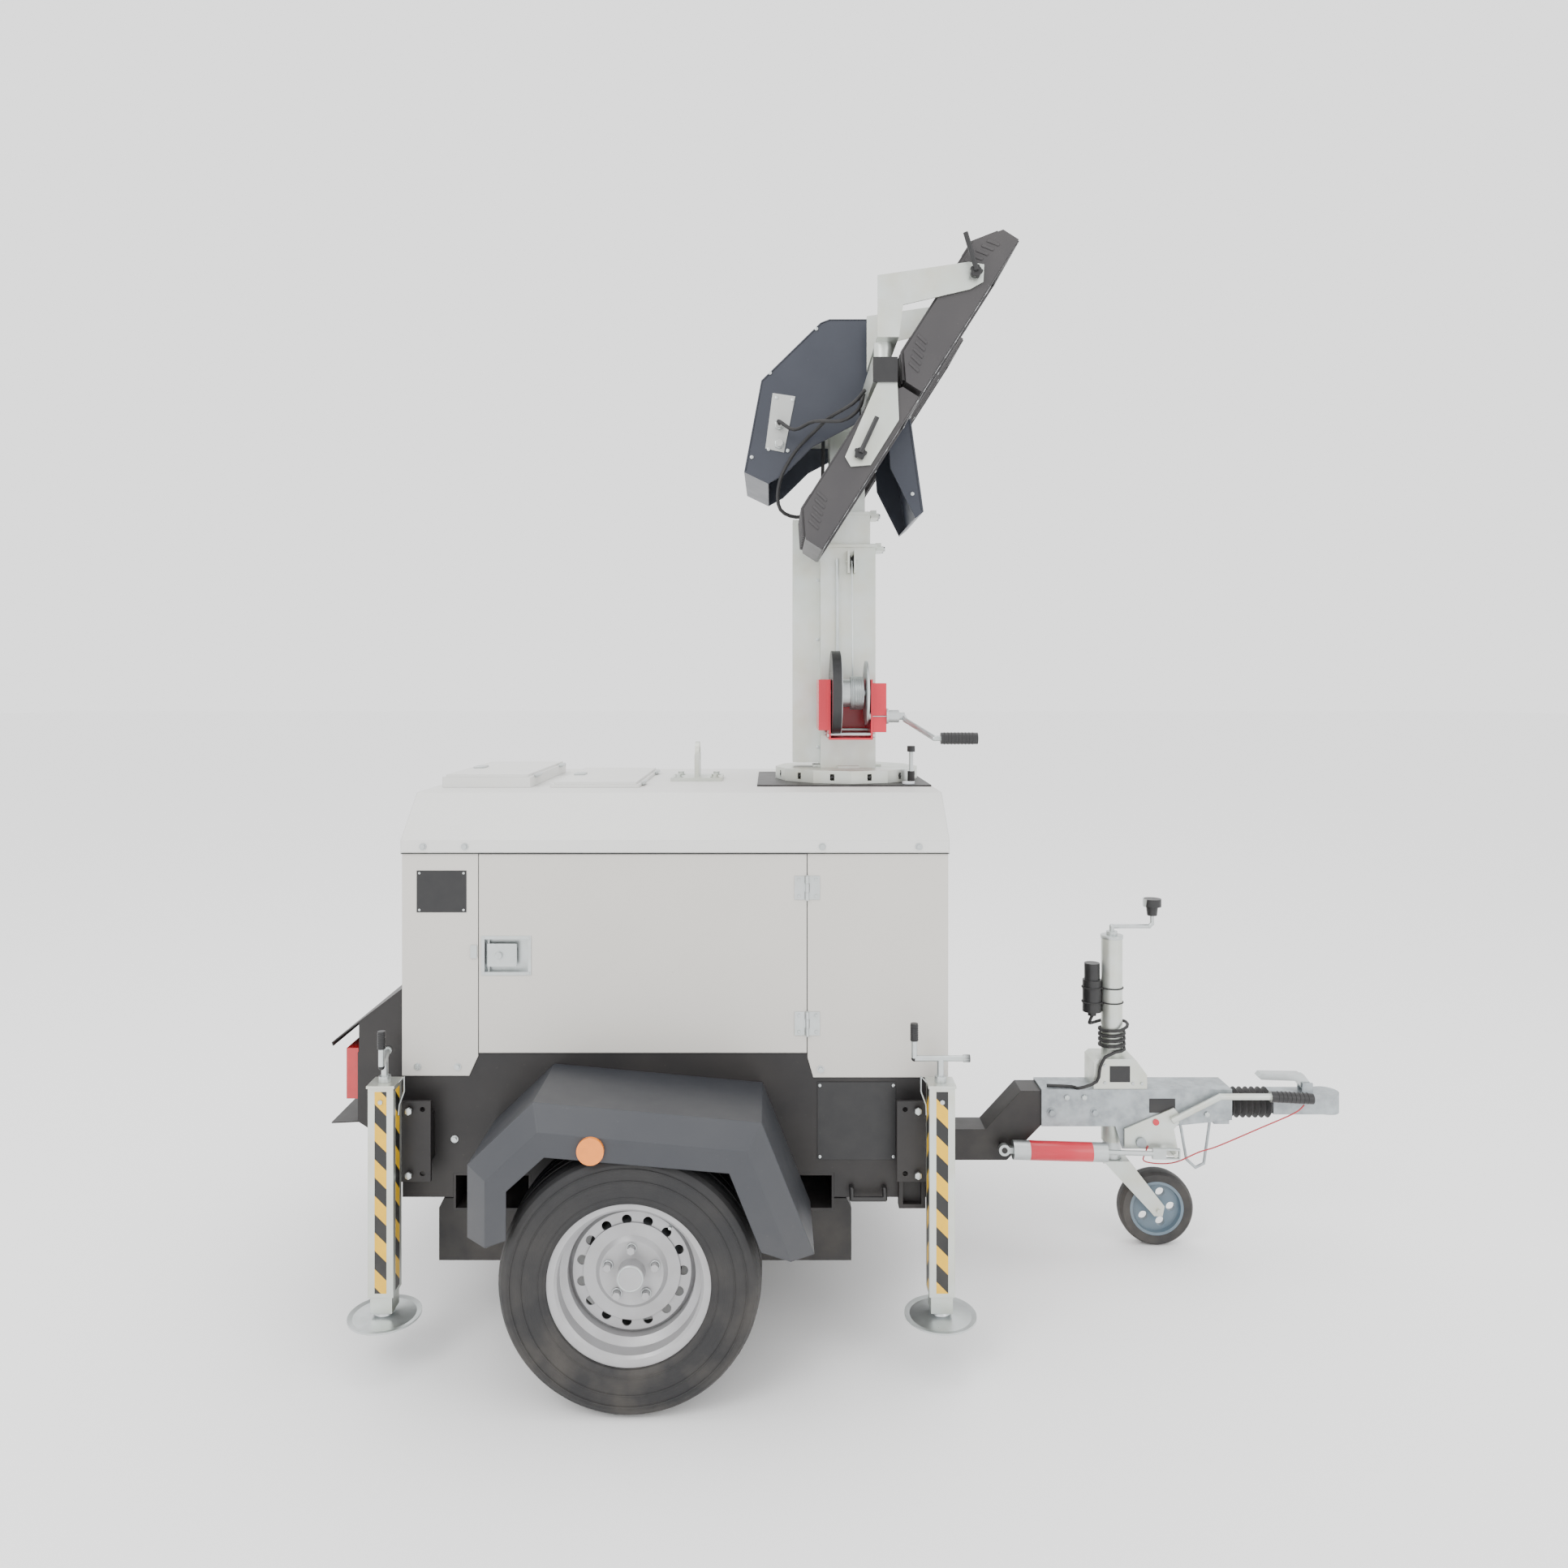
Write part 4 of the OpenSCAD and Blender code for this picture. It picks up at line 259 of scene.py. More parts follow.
def material(finish: Finish) -> bpy.types.Material:
    """Builds a finish's material once.

    Args:
        finish: the finish wanted.

    Returns:
        The material.
    """
    if finish.name in _built:
        return _built[finish.name]
    made = bpy.data.materials.new(finish.name)
    made.use_nodes = True
    tree = made.node_tree
    shader = tree.nodes["Principled BSDF"]
    place = add_node(tree, "TexCoord").outputs["Object"]
    axes = add_node(tree, "SeparateXYZ", {0: place}).outputs
    patches = ramp(tree, noise(tree, place, finish.patch_mm), 0.35, 0.7, finish.contrast)
    colour = mixed(tree, patches, srgb(finish.colour), srgb(finish.second))
    rough = maths(tree, "ADD", finish.roughness - 0.07, maths(tree, "MULTIPLY", noise(tree, place, finish.patch_mm * 0.4), 0.15))
    height = noise(tree, place, finish.grain_mm, 2)
    depth = finish.bump * MM
    if finish.surface is Surface.TAPE:
        # Diagonal black bars, 86 mm from one yellow bar to the next.
        run = maths(tree, "ADD", maths(tree, "ADD", axes[0], axes[1]), axes[2])
        bar = maths(tree, "GREATER_THAN", maths(tree, "FRACT", maths(tree, "DIVIDE", run, 0.086)), 0.5)
        colour = mixed(tree, bar, colour, srgb("#1a1a1a"))
    if finish.surface in (Surface.ZINC, Surface.GALVANISED):
        # Passivation drifts in hue, and galvanising shows as small cells.
        tint = "#b4c2ba" if finish.surface is Surface.ZINC else "#bcc4c8"
        drift = ramp(tree, noise(tree, place, finish.patch_mm * 2.3, 2), 0.42, 0.62, finish.contrast * 0.7)
        colour = mixed(tree, drift, colour, srgb(tint))
        cells = add_node(tree, "TexVoronoi", {"Vector": place, "Scale": 1 / (finish.patch_mm * 0.5 * MM)})
        rough = maths(tree, "ADD", rough, maths(tree, "MULTIPLY", cells.outputs["Distance"], 0.12))
    if finish.surface is Surface.TREAD:
        # Ribs round the side wall and sipes across the tread; the sipes also get painted shade.
        from_hub_z = maths(tree, "SUBTRACT", axes[2], 0.2945)
        from_hub_x = maths(tree, "SUBTRACT", axes[0], AXLE_X * MM)
        reach = maths(tree, "SQRT", maths(tree, "ADD", maths(tree, "MULTIPLY", from_hub_x, from_hub_x), maths(tree, "MULTIPLY", from_hub_z, from_hub_z)))
        turn = maths(tree, "ARCTAN2", from_hub_z, from_hub_x)
        outside = maths(tree, "GREATER_THAN", reach, 0.284)
        skew = maths(tree, "MULTIPLY", axes[1], 9.0)
        sipe = maths(tree, "SINE", maths(tree, "MULTIPLY", maths(tree, "ADD", turn, skew), 72.0))
        cut = maths(tree, "MULTIPLY", maths(tree, "GREATER_THAN", sipe, 0.55), outside)
        rib = maths(tree, "SINE", maths(tree, "MULTIPLY", reach, 2 * math.pi / 0.011))
        rib = maths(tree, "MULTIPLY", maths(tree, "GREATER_THAN", rib, 0.72), maths(tree, "SUBTRACT", 1.0, outside))
        height = maths(tree, "ADD", maths(tree, "MULTIPLY", height, 0.3), maths(tree, "SUBTRACT", maths(tree, "MULTIPLY", rib, 2.0), maths(tree, "MULTIPLY", cut, 6.0)))
        # Painted shade: the sipe cuts are darkened in colour as if shade fell into them.
        colour = mixed(tree, maths(tree, "MULTIPLY", cut, 0.7), colour, srgb("#141414"))
    # Dust gathers low down and fades above half a metre.
    low = ramp(tree, axes[2], 0.5, 0.05, 0.16)
    dust = maths(tree, "MULTIPLY", low, ramp(tree, noise(tree, place, 90, 6), 0.4, 0.75))
    colour = mixed(tree, dust, colour, srgb("#8f867a"))
    # Small chips and scuffs.
    scuff = ramp(tree, noise(tree, place, 9, 8), 0.68, 0.76, 0.35)
    colour = mixed(tree, maths(tree, "MULTIPLY", scuff, 0.5), colour, srgb(finish.second))
    rounded = add_node(tree, "Bevel", {"Radius": finish.edge_mm * MM}, samples=4).outputs[0]
    relief = add_node(tree, "Bump", {"Height": height, "Distance": depth, "Strength": 0.6, "Normal": rounded}).outputs[0]
    tree.links.new(colour, shader.inputs["Base Color"])
    tree.links.new(rough, shader.inputs["Roughness"])
    tree.links.new(relief, shader.inputs["Normal"])
    shader.inputs["Metallic"].default_value = finish.metallic
    shader.inputs["Coat Weight"].default_value = finish.coat
    _built[finish.name] = made
    return made


# ------------------------------------------------------------------ meshes


class Shape:
    """A mesh under construction, in row coordinates."""

    def __init__(self, name: str, finish: Finish) -> None:
        """Starts an empty shape.

        Args:
            name: what the object will be called.
            finish: its finish.
        """
        self.name = name
        self.finish = finish
        self.bm = bmesh.new()

    def _round(self, verts: Iterable, radius: float, segments: int) -> None:
        """Bevels the edges that the given vertices share.

        Args:
            verts: vertices of the new piece.
            radius: bevel width in metres, 0 for none.
            segments: bevel segments.
        """
        if radius <= 0:
            return
        own = set(verts)
        edges = [e for e in self.bm.edges if e.verts[0] in own and e.verts[1] in own and e.calc_face_angle(0) > 0.6]
        bmesh.ops.bevel(self.bm, geom=edges, offset=radius, segments=segments, profile=0.5, affect="EDGES", material=-1, clamp_overlap=True)

    def box(self, lo: Vector, hi: Vector, radius: float = 0.0008, segments: int = 2) -> "Shape":
        """Adds a box with rounded edges.

        Args:
            lo: lowest corner.
            hi: highest corner.
            radius: edge radius in metres.
            segments: bevel segments.

        Returns:
            The shape itself.
        """
        size = hi - lo
        place = Matrix.Translation((lo + hi) / 2) @ Matrix.Diagonal((abs(size.x), abs(size.y), abs(size.z), 1))
        made = bmesh.ops.create_cube(self.bm, size=1, matrix=place)
        self._round(made["verts"], radius, segments)
        return self

    def rod(self, start: Vector, end: Vector, radius: float, sides: int = 32, edge: float = 0.0006, tip: float | None = None) -> "Shape":
        """Adds a round bar between two points.

        Args:
            start: one end.
            end: the other end.
            radius: radius at the start, in metres.
            sides: number of sides.
            edge: radius of its end edges.
            tip: radius at the end, if it differs.

        Returns:
            The shape itself.
        """
        along = end - start
        turn = along.to_track_quat("Z", "Y").to_matrix().to_4x4()
        place = Matrix.Translation((start + end) / 2) @ turn
        made = bmesh.ops.create_cone(self.bm, cap_ends=True, segments=sides, radius1=radius, radius2=radius if tip is None else tip, depth=along.length, matrix=place)
        self._round(made["verts"], edge, 2)
        return self

    def hoop(self, middle: Vector, axis: Vector, reach: float, radius: float, sides: int = 48) -> "Shape":
        """Adds a torus by spinning a circle.

        Args:
            middle: centre of the torus.
            axis: its axis.
            reach: radius from the centre to the section.
            radius: radius of the section.
            sides: steps round the torus.

        Returns:
            The shape itself.
        """
        turn = axis.to_track_quat("Z", "Y").to_matrix().to_4x4()
        place = Matrix.Translation(middle) @ turn
        section = bmesh.ops.create_circle(self.bm, segments=12, radius=radius, matrix=place @ Matrix.Translation((reach, 0, 0)) @ Matrix.Rotation(math.pi / 2, 4, "X"))
        edges = [e for e in self.bm.edges if e.verts[0] in set(section["verts"])]
        bmesh.ops.spin(self.bm, geom=section["verts"] + edges, cent=middle, axis=axis, angle=2 * math.pi, steps=sides, use_merge=True)
        return self

    def wire(self, points: Sequence[Vector], radius: float, sides: int = 10) -> "Shape":
        """Adds a bent wire through the points.

        Args:
            points: its path.
            radius: wire radius in metres.
            sides: number of sides.

        Returns:
            The shape itself.
        """
        rings = []
        for i, point in enumerate(points):
            ahead = points[min(i + 1, len(points) - 1)] - points[max(i - 1, 0)]
            turn = ahead.to_track_quat("Z", "Y").to_matrix().to_4x4()
            made = bmesh.ops.create_circle(self.bm, segments=sides, radius=radius, matrix=Matrix.Translation(point) @ turn)
            rings.append([e for e in self.bm.edges if e.verts[0] in set(made["verts"])])
        for first, second in zip(rings, rings[1:]):
            bmesh.ops.bridge_loops(self.bm, edges=first + second)
        for ends in (rings[0], rings[-1]):
            bmesh.ops.contextual_create(self.bm, geom=ends)
        return self

    def outline(self, points: Sequence[Vector], depth: Vector, radius: float = 0.0008) -> "Shape":
        """Adds a plate: an outline extruded along depth.

        Args:
            points: corners of the outline.
            depth: the extrusion.
            radius: edge radius in metres.

        Returns:
            The shape itself.
        """
        verts = [self.bm.verts.new(p) for p in points]
        face = self.bm.faces.new(verts)
        made = bmesh.ops.extrude_face_region(self.bm, geom=[face])
        new = [g for g in made["geom"] if isinstance(g, bmesh.types.BMVert)]
        bmesh.ops.translate(self.bm, verts=new, vec=depth)
        self._round(verts + new, radius, 2)
        return self

    def done(self, body: str) -> bpy.types.Object:
        """Finishes the mesh and hangs it on its body.

        Args:
            body: the CAD body it moves with.

        Returns:
            The finished object, at the origin and untransformed.
        """
        bmesh.ops.recalc_face_normals(self.bm, faces=self.bm.faces)
        mesh = bpy.data.meshes.new(self.name)
        self.bm.to_mesh(mesh)
        self.bm.free()
        mesh.materials.append(material(self.finish))
        mesh.shade_smooth()
        mesh.set_sharp_from_angle(angle=math.radians(35))
        made = bpy.data.objects.new(self.name, mesh)
        bpy.context.scene.collection.objects.link(made)
        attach(made, body)
        LOG.info("piece %s on %s: %d faces", self.name, body, len(mesh.polygons))
        return made


def dress(node: str, finish: Finish, *zones: tuple[Finish, Callable[[Vector, Vector], bool]]) -> None:
    """Gives a CAD node its finish, and parts of it others.

    Args:
        node: the CAD node.
        finish: its main finish.
        zones: pairs of a finish and a test of a face's centre in axle
            millimetres and its normal; the first test that holds decides.
    """
    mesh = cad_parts[node].data
    mesh.materials.clear()
    mesh.materials.append(material(finish))
    for zone, _ in zones:
        mesh.materials.append(material(zone))
    for face in mesh.polygons:
        face.material_index = 0
        place = Vector((face.center.x / MM - AXLE_X, face.center.y / MM, face.center.z / MM))
        for i, (_, test) in enumerate(zones):
            if test(place, face.normal):
                face.material_index = i + 1
                break


# ------------------------------------------------------------------ CAD nodes


def dress_all() -> None:
    """Gives every CAD node its finish."""
    plain = {
        CHASSIS: ("chassis_frame", "fork_pockets", "axle_beam", "drawbar", "tail_cover"),
        PANEL: ("canopy_panels",),
        GUARD: ("mudguards",),
        ZINC: ("mast_section_2", "mast_section_3", "lifting_eye", "jockey_outer_tube", "jockey_fork"),
        BRIGHT: ("jockey_inner_tube", "winch_drum", "winch_rope", "coupling_handle", "latch_right", "latch_left"),
        GALVANISED: ("overrun_housing", "coupling_head"),
        RUBBER: ("trailer_lead", "bellows", "head_cable_loop", "head_cable_gland"),
        PLASTIC: ("trailer_plug",),
        MACHINE: ("power_unit",),
        RED_CORD: ("breakaway_cable",),
        TYRE: ("tyre_right", "tyre_left"),
    }
    for finish, nodes in plain.items():
        for node in nodes:
            dress(node, finish)
    for side in ("right", "left"):
        dress(f"rim_{side}", RIM, (MACHINE, lambda p, n: abs(p.y) < 712))
        dress(f"door_{side}", PANEL, (BRIGHT, lambda p, n: abs(p.y) > 520.4 or (p.x < -264 and 908 < p.z < 1008 and abs(p.y) < 519.5)))
        for end in ("front", "rear"):
            dress(f"leg_{end}_{side}", ZINC, (BRIGHT, lambda p, n: p.z < 142))
            dress(f"leg_crank_{end}_{side}", BRIGHT, (PLASTIC, lambda p, n: p.z > 775 or math.hypot(p.x - LEG_X[p.x > 0], abs(p.y) - 600) > 61 and p.z > 700 and abs(p.z - 733) < 10 and is_grip(p)))
        for row in ("upper", "lower"):
            dress(f"lamp_{row}_{side}", LAMP, (GLASS, is_glass))
    dress("marker_lights", RED_LENS, (AMBER_LENS, lambda p, n: p.x > -400))
    dress("canopy_roof", ROOF, (CHASSIS, lambda p, n: p.z > 1345.1 and p.x > 276 and abs(p.y) < 231))
    dress("panel_hardware", BRIGHT, (PLASTIC, lambda p, n: is_black_fitting(p)))
    dress("stabiliser_tubes", ZINC, (CHASSIS, lambda p, n: abs(p.y) < 570.5))
    dress("mast_section_1", ZINC)
    dress("mast_fittings", ZINC, (PLASTIC, lambda p, n: 535 < p.x < 547 and p.y < -82 and 1940 < p.z < 1990))
    dress("winch_frame", RED, (PLASTIC, lambda p, n: 477.5 < p.x < 503 and math.hypot(p.y + 200, p.z - 1597) > 60), (BRIGHT, lambda p, n: 476 < p.x < 583 and -265 < p.y < -100 and p.z > 1477.5))
    dress("winch_crank", BRIGHT, (PLASTIC, lambda p, n: p.x > 746))
    dress("slew_lock_pin", BRIGHT, (PLASTIC, lambda p, n: p.z > 1433))
    dress("lamp_crossbar", ZINC, (PLASTIC, lambda p, n: is_clamp(p)), (MACHINE, lambda p, n: p.x < 480))
    dress("head_cover", SLATE, (GREY_PLATE, lambda p, n: abs(p.y) > 200.1 and p.x < 400))
    dress("jockey_wheel", RUBBER, (BLUE_GREY, lambda p, n: math.hypot(p.x - 1428, p.z - 107.5) < 77.3))
    dress("jockey_crank", BRIGHT, (PLASTIC, lambda p, n: p.x > 1400 and p.z > 948))
    dress("handbrake_lever", ZINC, (PLASTIC, lambda p, n: p.x > 1736))
    dress("brake_spring_cylinder", BRIGHT)


LEG_X = (-603.0, 717.0)
"""Stations of the rear and the front stabilisers."""


def is_grip(p: Vector) -> bool:
    """Tells whether a face of a stabiliser crank is on its short black end."""
    near = LEG_X[p.x > 0]
    return math.hypot(p.x - near, abs(p.y) - 600) > 53


def is_glass(p: Vector, n: Vector) -> bool:
    """Tells whether a face of a lamp is on its lens."""
    tilt = math.radians(57.5)
    return n.x * math.sin(tilt) - n.z * math.cos(tilt) > 0.9 and lamp_depth(p) > 36


def lamp_depth(p: Vector) -> float:
    """Gives how far a place lies in front of its lamp's middle plane."""
    tilt = math.radians(57.5)
    return (p.x - 638) * math.sin(tilt) - (p.z - 2348) * math.cos(tilt)


def is_black_fitting(p: Vector) -> bool:
    """Tells whether a face of the panel hardware is on a black part."""
    loop = p.z < 402 and p.x > 480
    cover = p.x > 420 and p.z < 650 and abs(p.y) < 519.5
    plate = p.x < -430 and 1062 < p.z < 1168 and p.y < 0
    return loop or cover or plate


def is_clamp(p: Vector) -> bool:
    """Tells whether a face of the crossbar is on a clamp lever or an end cap."""
    return abs(p.y) > 554.1


# ------------------------------------------------------------------ added pieces


@dataclass
class Canopy:
    """Seals, screws, fittings and rivets on the canopy."""

    side: int

    def build(self) -> None:
        """Adds the door seal, key cylinder, door screws and fittings, and plate rivets."""
        s = self.side
        tag = "right" if s < 0 else "left"
        seal = Shape(f"door_seal_{tag}", RUBBER)
        y0, y1 = s * 518.6, s * 519.4
        for lo, hi in (((-402, 716), (-399.5, 1208)), ((401.5, 716), (404.5, 1208)), ((-402, 1205.6), (404, 1208)), ((-402, 717), (404, 720.4))):
            seal.box(at(lo[0], y0, lo[1]), at(hi[0], y1, hi[1]), 0.0002, 1)
        seal.done(TRAILER)
        key = Shape(f"key_cylinder_{tag}", BRIGHT)
        key.rod(at(-352, s * 517, 958), at(-352, s * 524.5, 958), 0.0085)
        key.box(at(-352.8, s * 524, 953), at(-351.2, s * 525, 963), 0.0001, 1)
        key.done(f"latch_{tag}")
        screws = Shape(f"door_screws_{tag}", BRIGHT)
        for z in (763, 1095):
            for dx, on_door in ((-22, True), (22, False)):
                for dz in (9, 49):
                    if not on_door:
                        screws.rod(at(403 + dx, s * 521.5, z + dz), at(403 + dx, s * 524.6, z + dz), 0.0042, 16)
        screws.done(TRAILER)
        moving = Shape(f"door_fittings_{tag}", BRIGHT)
        for z in (763, 1095):
            for dz in (9, 49):
                moving.rod(at(383, s * 521.5, z + dz), at(383, s * 524.6, z + dz), 0.0042, 16)
        for x in (-388, -278):
            for z in (916, 1000):
                moving.rod(at(x, s * 521.5, z), at(x, s * 523.4, z), 0.0032, 16)
        moving.done(f"door_{tag}")
        rivets = Shape(f"plate_rivets_{tag}", BRIGHT)
        for x in (434, 614):
            for z in (466, 640):
                rivets.rod(at(x, s * 518, z), at(x, s * 521, z), 0.004, 16)
        if s < 0:
            for x in (-545, -437):
                for z in (1070, 1160):
                    rivets.rod(at(x, -521, z), at(x, -523.5, z), 0.003, 16)
        rivets.done(TRAILER)


@dataclass
class Roof:
    """Hatch hinges and handles on the roof."""

    def build(self) -> None:
        """Adds a latch and two hinges to each hatch, and a seam seal."""
        fittings = Shape("roof_hatch_fittings", BRIGHT)
        for x, top in ((-328, 1379), (-37, 1359)):
            for y in (-180, 180):
                fittings.rod(at(x + 4, y - 34, top - 6), at(x + 4, y + 34, top - 6), 0.005, 16)
        for x, top in ((-564, 1379), (-275, 1359)):
            fittings.box(at(x + 22, -30, top), at(x + 52, 30, top + 5), 0.001)
        fittings.done(TRAILER)
        seam = Shape("roof_seam", RUBBER)
        seam.box(at(-590.5, -524.4, 1207), at(750.5, -523.2, 1209.5), 0.0003, 1)
        seam.box(at(-590.5, 523.2, 1207), at(750.5, 524.4, 1209.5), 0.0003, 1)
        seam.done(TRAILER)


@dataclass
class Stabiliser:
    """Tape, bail, bolts and grip ribs of one stabiliser."""

    front: bool
    side: int

    def build(self) -> None:
        """Adds the pieces to one stabiliser."""
        x, y, s = LEG_X[self.front], self.side * 600.0, self.side
        tag = ("front" if self.front else "rear") + ("_right" if s < 0 else "_left")
        tape = Shape(f"hazard_tape_{tag}", TAPE)
        outer = s * 30
        tape.box(at(x - 14, y + outer, 190), at(x + 14, y + outer + s * 0.4, 664), 0.0001, 1)
        for way in (-1, 1):
            tape.box(at(x + way * 30, y - 14, 190), at(x + way * 30.4, y + 14, 664), 0.0001, 1)
        tape.done(TRAILER)
        bail = Shape(f"wire_bail_{tag}", BRIGHT)
        w = -1 if self.front else 1
        bail.wire([at(x + w * 33, y, 676), at(x + w * 46, y, 690), at(x + w * 46, y, 655), at(x + w * 34, y, 622), at(x + w * 34, y + s * 6, 600)], 0.0022)
        bail.rod(at(x, y - 34, 640), at(x, y + 34, 640), 0.006, 6)
        for z in (446, 600):
            bail.rod(at(x + w * 50, y - s * 22, z), at(x + w * 50, y - s * 15, z), 0.009, 6)
        bail.done(TRAILER)
        grip = Shape(f"crank_grip_ribs_{tag}", PLASTIC)
        turn = 0.0 if self.front else math.radians(78)
        # The rear cranks are mirrored and turned as they stand.
        dx, dy = -62 * math.cos(turn) * (1 if self.front else -1), -62 * math.sin(turn) * (1 if s < 0 else -1)
        for i in range(7):
            grip.hoop(at(x + dx, y + dy, 778 + i * 5.4), Vector((0, 0, 1)), 0.0088, 0.0013, 24)
        grip.done(f"leg_crank_{tag}")


@dataclass
class Wheel:
    """Valve, bead line and wheel bolts of one road wheel."""

    side: int

    def build(self) -> None:
        """Adds the pieces to one road wheel."""
        s = self.side
        tag = "right" if s < 0 else "left"
        hub = at(0, s * 712, 294.5)
        out = Vector((0, s, 0))
        beads = Shape(f"bead_lines_{tag}", TYRE)
        for reach, depth in ((0.199, 0.0905), (0.236, 0.0925), (0.262, 0.0915)):
            beads.hoop(hub + out * depth, out, reach, 0.0016, 96)
        beads.done(f"wheel_{tag}")
        small = Shape(f"valve_and_cap_{tag}", BRIGHT)
        up = Vector((math.cos(0.9), 0, math.sin(0.9)))
        small.rod(hub + up * 0.148 + out * 0.02, hub + up * 0.142 + out * 0.05, 0.004, 12)
        small.hoop(hub + out * 0.0515, out, 0.0275, 0.0022, 48)
        for i in range(5):
            a = math.radians(18 + 72 * i)
            bolt = hub + Vector((math.cos(a), 0, math.sin(a))) * 0.056
            small.hoop(bolt + out * 0.0265, out, 0.0105, 0.0018, 24)
        small.done(f"wheel_{tag}")


TILT = math.radians(57.5)
LOWER_MID = (516.6, 2157.4)
UPPER_MID = (759.4, 2538.6)


@dataclass
class Lamp:
    """Bezel, cooling ribs, lens cells and screws of one floodlight."""

    row: str
    side: int

    def place(self, along: float, y: float, front: float) -> Vector:
        """Gives a place on the lamp.

        Args:
            along: millimetres up the lamp from its middle.
            y: millimetres from the middle plane, outwards.
            front: millimetres in front of the lamp's middle plane.

        Returns:
            The place in the row frame.
        """
        mid = LOWER_MID if self.row == "lower" else UPPER_MID
        x = mid[0] + along * math.cos(TILT) + front * math.sin(TILT)
        z = mid[1] + along * math.sin(TILT) - front * math.cos(TILT)
        return at(x, self.side * y, z)

    def slab(self, shape: Shape, along: tuple[float, float], y: tuple[float, float], front: tuple[float, float], radius: float = 0.0008) -> None:
        """Adds a block that lies square to the lamp.

        Args:
            shape: the shape it is added to.
            along: its span along the lamp.
            y: its span outwards.
            front: its span towards the front.
            radius: edge radius in metres.
        """
        corners = [self.place(along[i], y[0], front[j]) for i, j in ((0, 0), (1, 0), (1, 1), (0, 1))]
        shape.outline(corners, Vector((0, self.side * (y[1] - y[0]) * MM, 0)), radius)

    def build(self) -> None:
        """Adds the pieces to one lamp."""
        tag = f"{self.row}_{'right' if self.side < 0 else 'left'}"
        body = f"lamp_{tag}"
        ribs = Shape(f"lamp_ribs_{tag}", LAMP)
        for end in (-1, 1):
            for i in range(9):
                y = 266 + i * 33
                # Fins follow the slope at each end of the casting.
                corners = [self.place(end * a, y - 3, f) for a, f in ((213, -4), (216, -11), (160, -52), (118, -52), (118, -45), (156, -45))]
                ribs.outline(corners, Vector((0, self.side * 6 * MM, 0)), 0.0006)
        for i in range(9):
            y = 266 + i * 33
            self.slab(ribs, (-118, 118), (y - 2.5, y + 2.5), (-51, -44), 0.0005)
        for end in (-1, 1):
            # The casting's flank is stepped in five short ribs near each end.
            for i in range(5):
                a = end * (104 + i * 17)
                f = -38 + i * 5
                corners = [self.place(a, 547.5, f), self.place(a + end * 7, 547.5, f), self.place(a + end * 13, 547.5, f + 30), self.place(a + end * 6, 547.5, f + 30)]
                ribs.outline(corners, Vector((0, self.side * 2.4 * MM, 0)), 0.0005)
        ribs.done(body)
        bezel = Shape(f"lamp_bezel_{tag}", LAMP)
        for a in ((-217, -204), (204, 217)):
            self.slab(bezel, a, (250, 546), (44.5, 48), 0.001)
        for y in ((250, 262), (534, 546)):
            self.slab(bezel, (-204, 204), y, (44.5, 48), 0.001)
        bezel.done(body)
        cells = Shape(f"lamp_cells_{tag}", GLASS)
        for i in range(8):
            for j in range(5):
                middle = self.place(-171 + i * 49, 296 + j * 51, 40)
                out = self.place(0, 300, 3) - self.place(0, 300, 0)
                cells.rod(middle, middle + out * 0.9, 0.017, 24, 0.0008, 0.013)
        cells.done(body)
        screws = Shape(f"lamp_screws_{tag}", BRIGHT)
        out = self.place(0, 300, 2) - self.place(0, 300, 0)
        for a in (-210, -70, 70, 210):
            for y in (256, 540):
                screws.rod(self.place(a, y, 47), self.place(a, y, 47) + out, 0.0042, 16)
        screws.done(body)


@dataclass
class Mast:
    """Pads, screws, seams and level on the mast."""

    def build(self) -> None:
        """Adds the pieces to the mast's lower two sections, and the level to the trailer."""
        outer = Shape("mast_base_fittings", BRIGHT)
        for y in (-24, 24):
            outer.rod(at(637, y, 2010), at(643, y, 2010), 0.007, 6)
        for z in (1440, 1560, 1749, 1919):
            outer.rod(at(449, -39, z), at(449, -43, z), 0.005, 6)
        outer.rod(at(502, -92, 1975), at(502, -92, 1690), 0.0045, 20)
        outer.rod(at(502, -92, 1690), at(502, -92, 1668), 0.005, 24, 0.0006, 0.014)
        outer.box(at(497, -90, 1962), at(507, -78, 1972), 0.0006)
        outer.done("mast_base")
        middle = Shape("mast_middle_fittings", BRIGHT)
        for y in (-24, 24):
            middle.rod(at(623, y, 2104), at(629, y, 2104), 0.007, 6)
        middle.done("mast_middle")
        seam = Shape("mast_seams", PLASTIC)
        for a in range(12):
            turn = math.radians(a * 30 + 15)
            edge = Vector((math.cos(turn), math.sin(turn), 0))
            spot = at(533, 0, 1366) + edge * 0.1985
            seam.rod(spot - edge * 0.003, spot + edge * 0.0008, 0.004, 16)
        seam.done("mast_base")
        level = Shape("bubble_level", GLASS)
        level.rod(at(690, -196, 1349), at(690, -196, 1356), 0.017, 32)
        level.done(TRAILER)


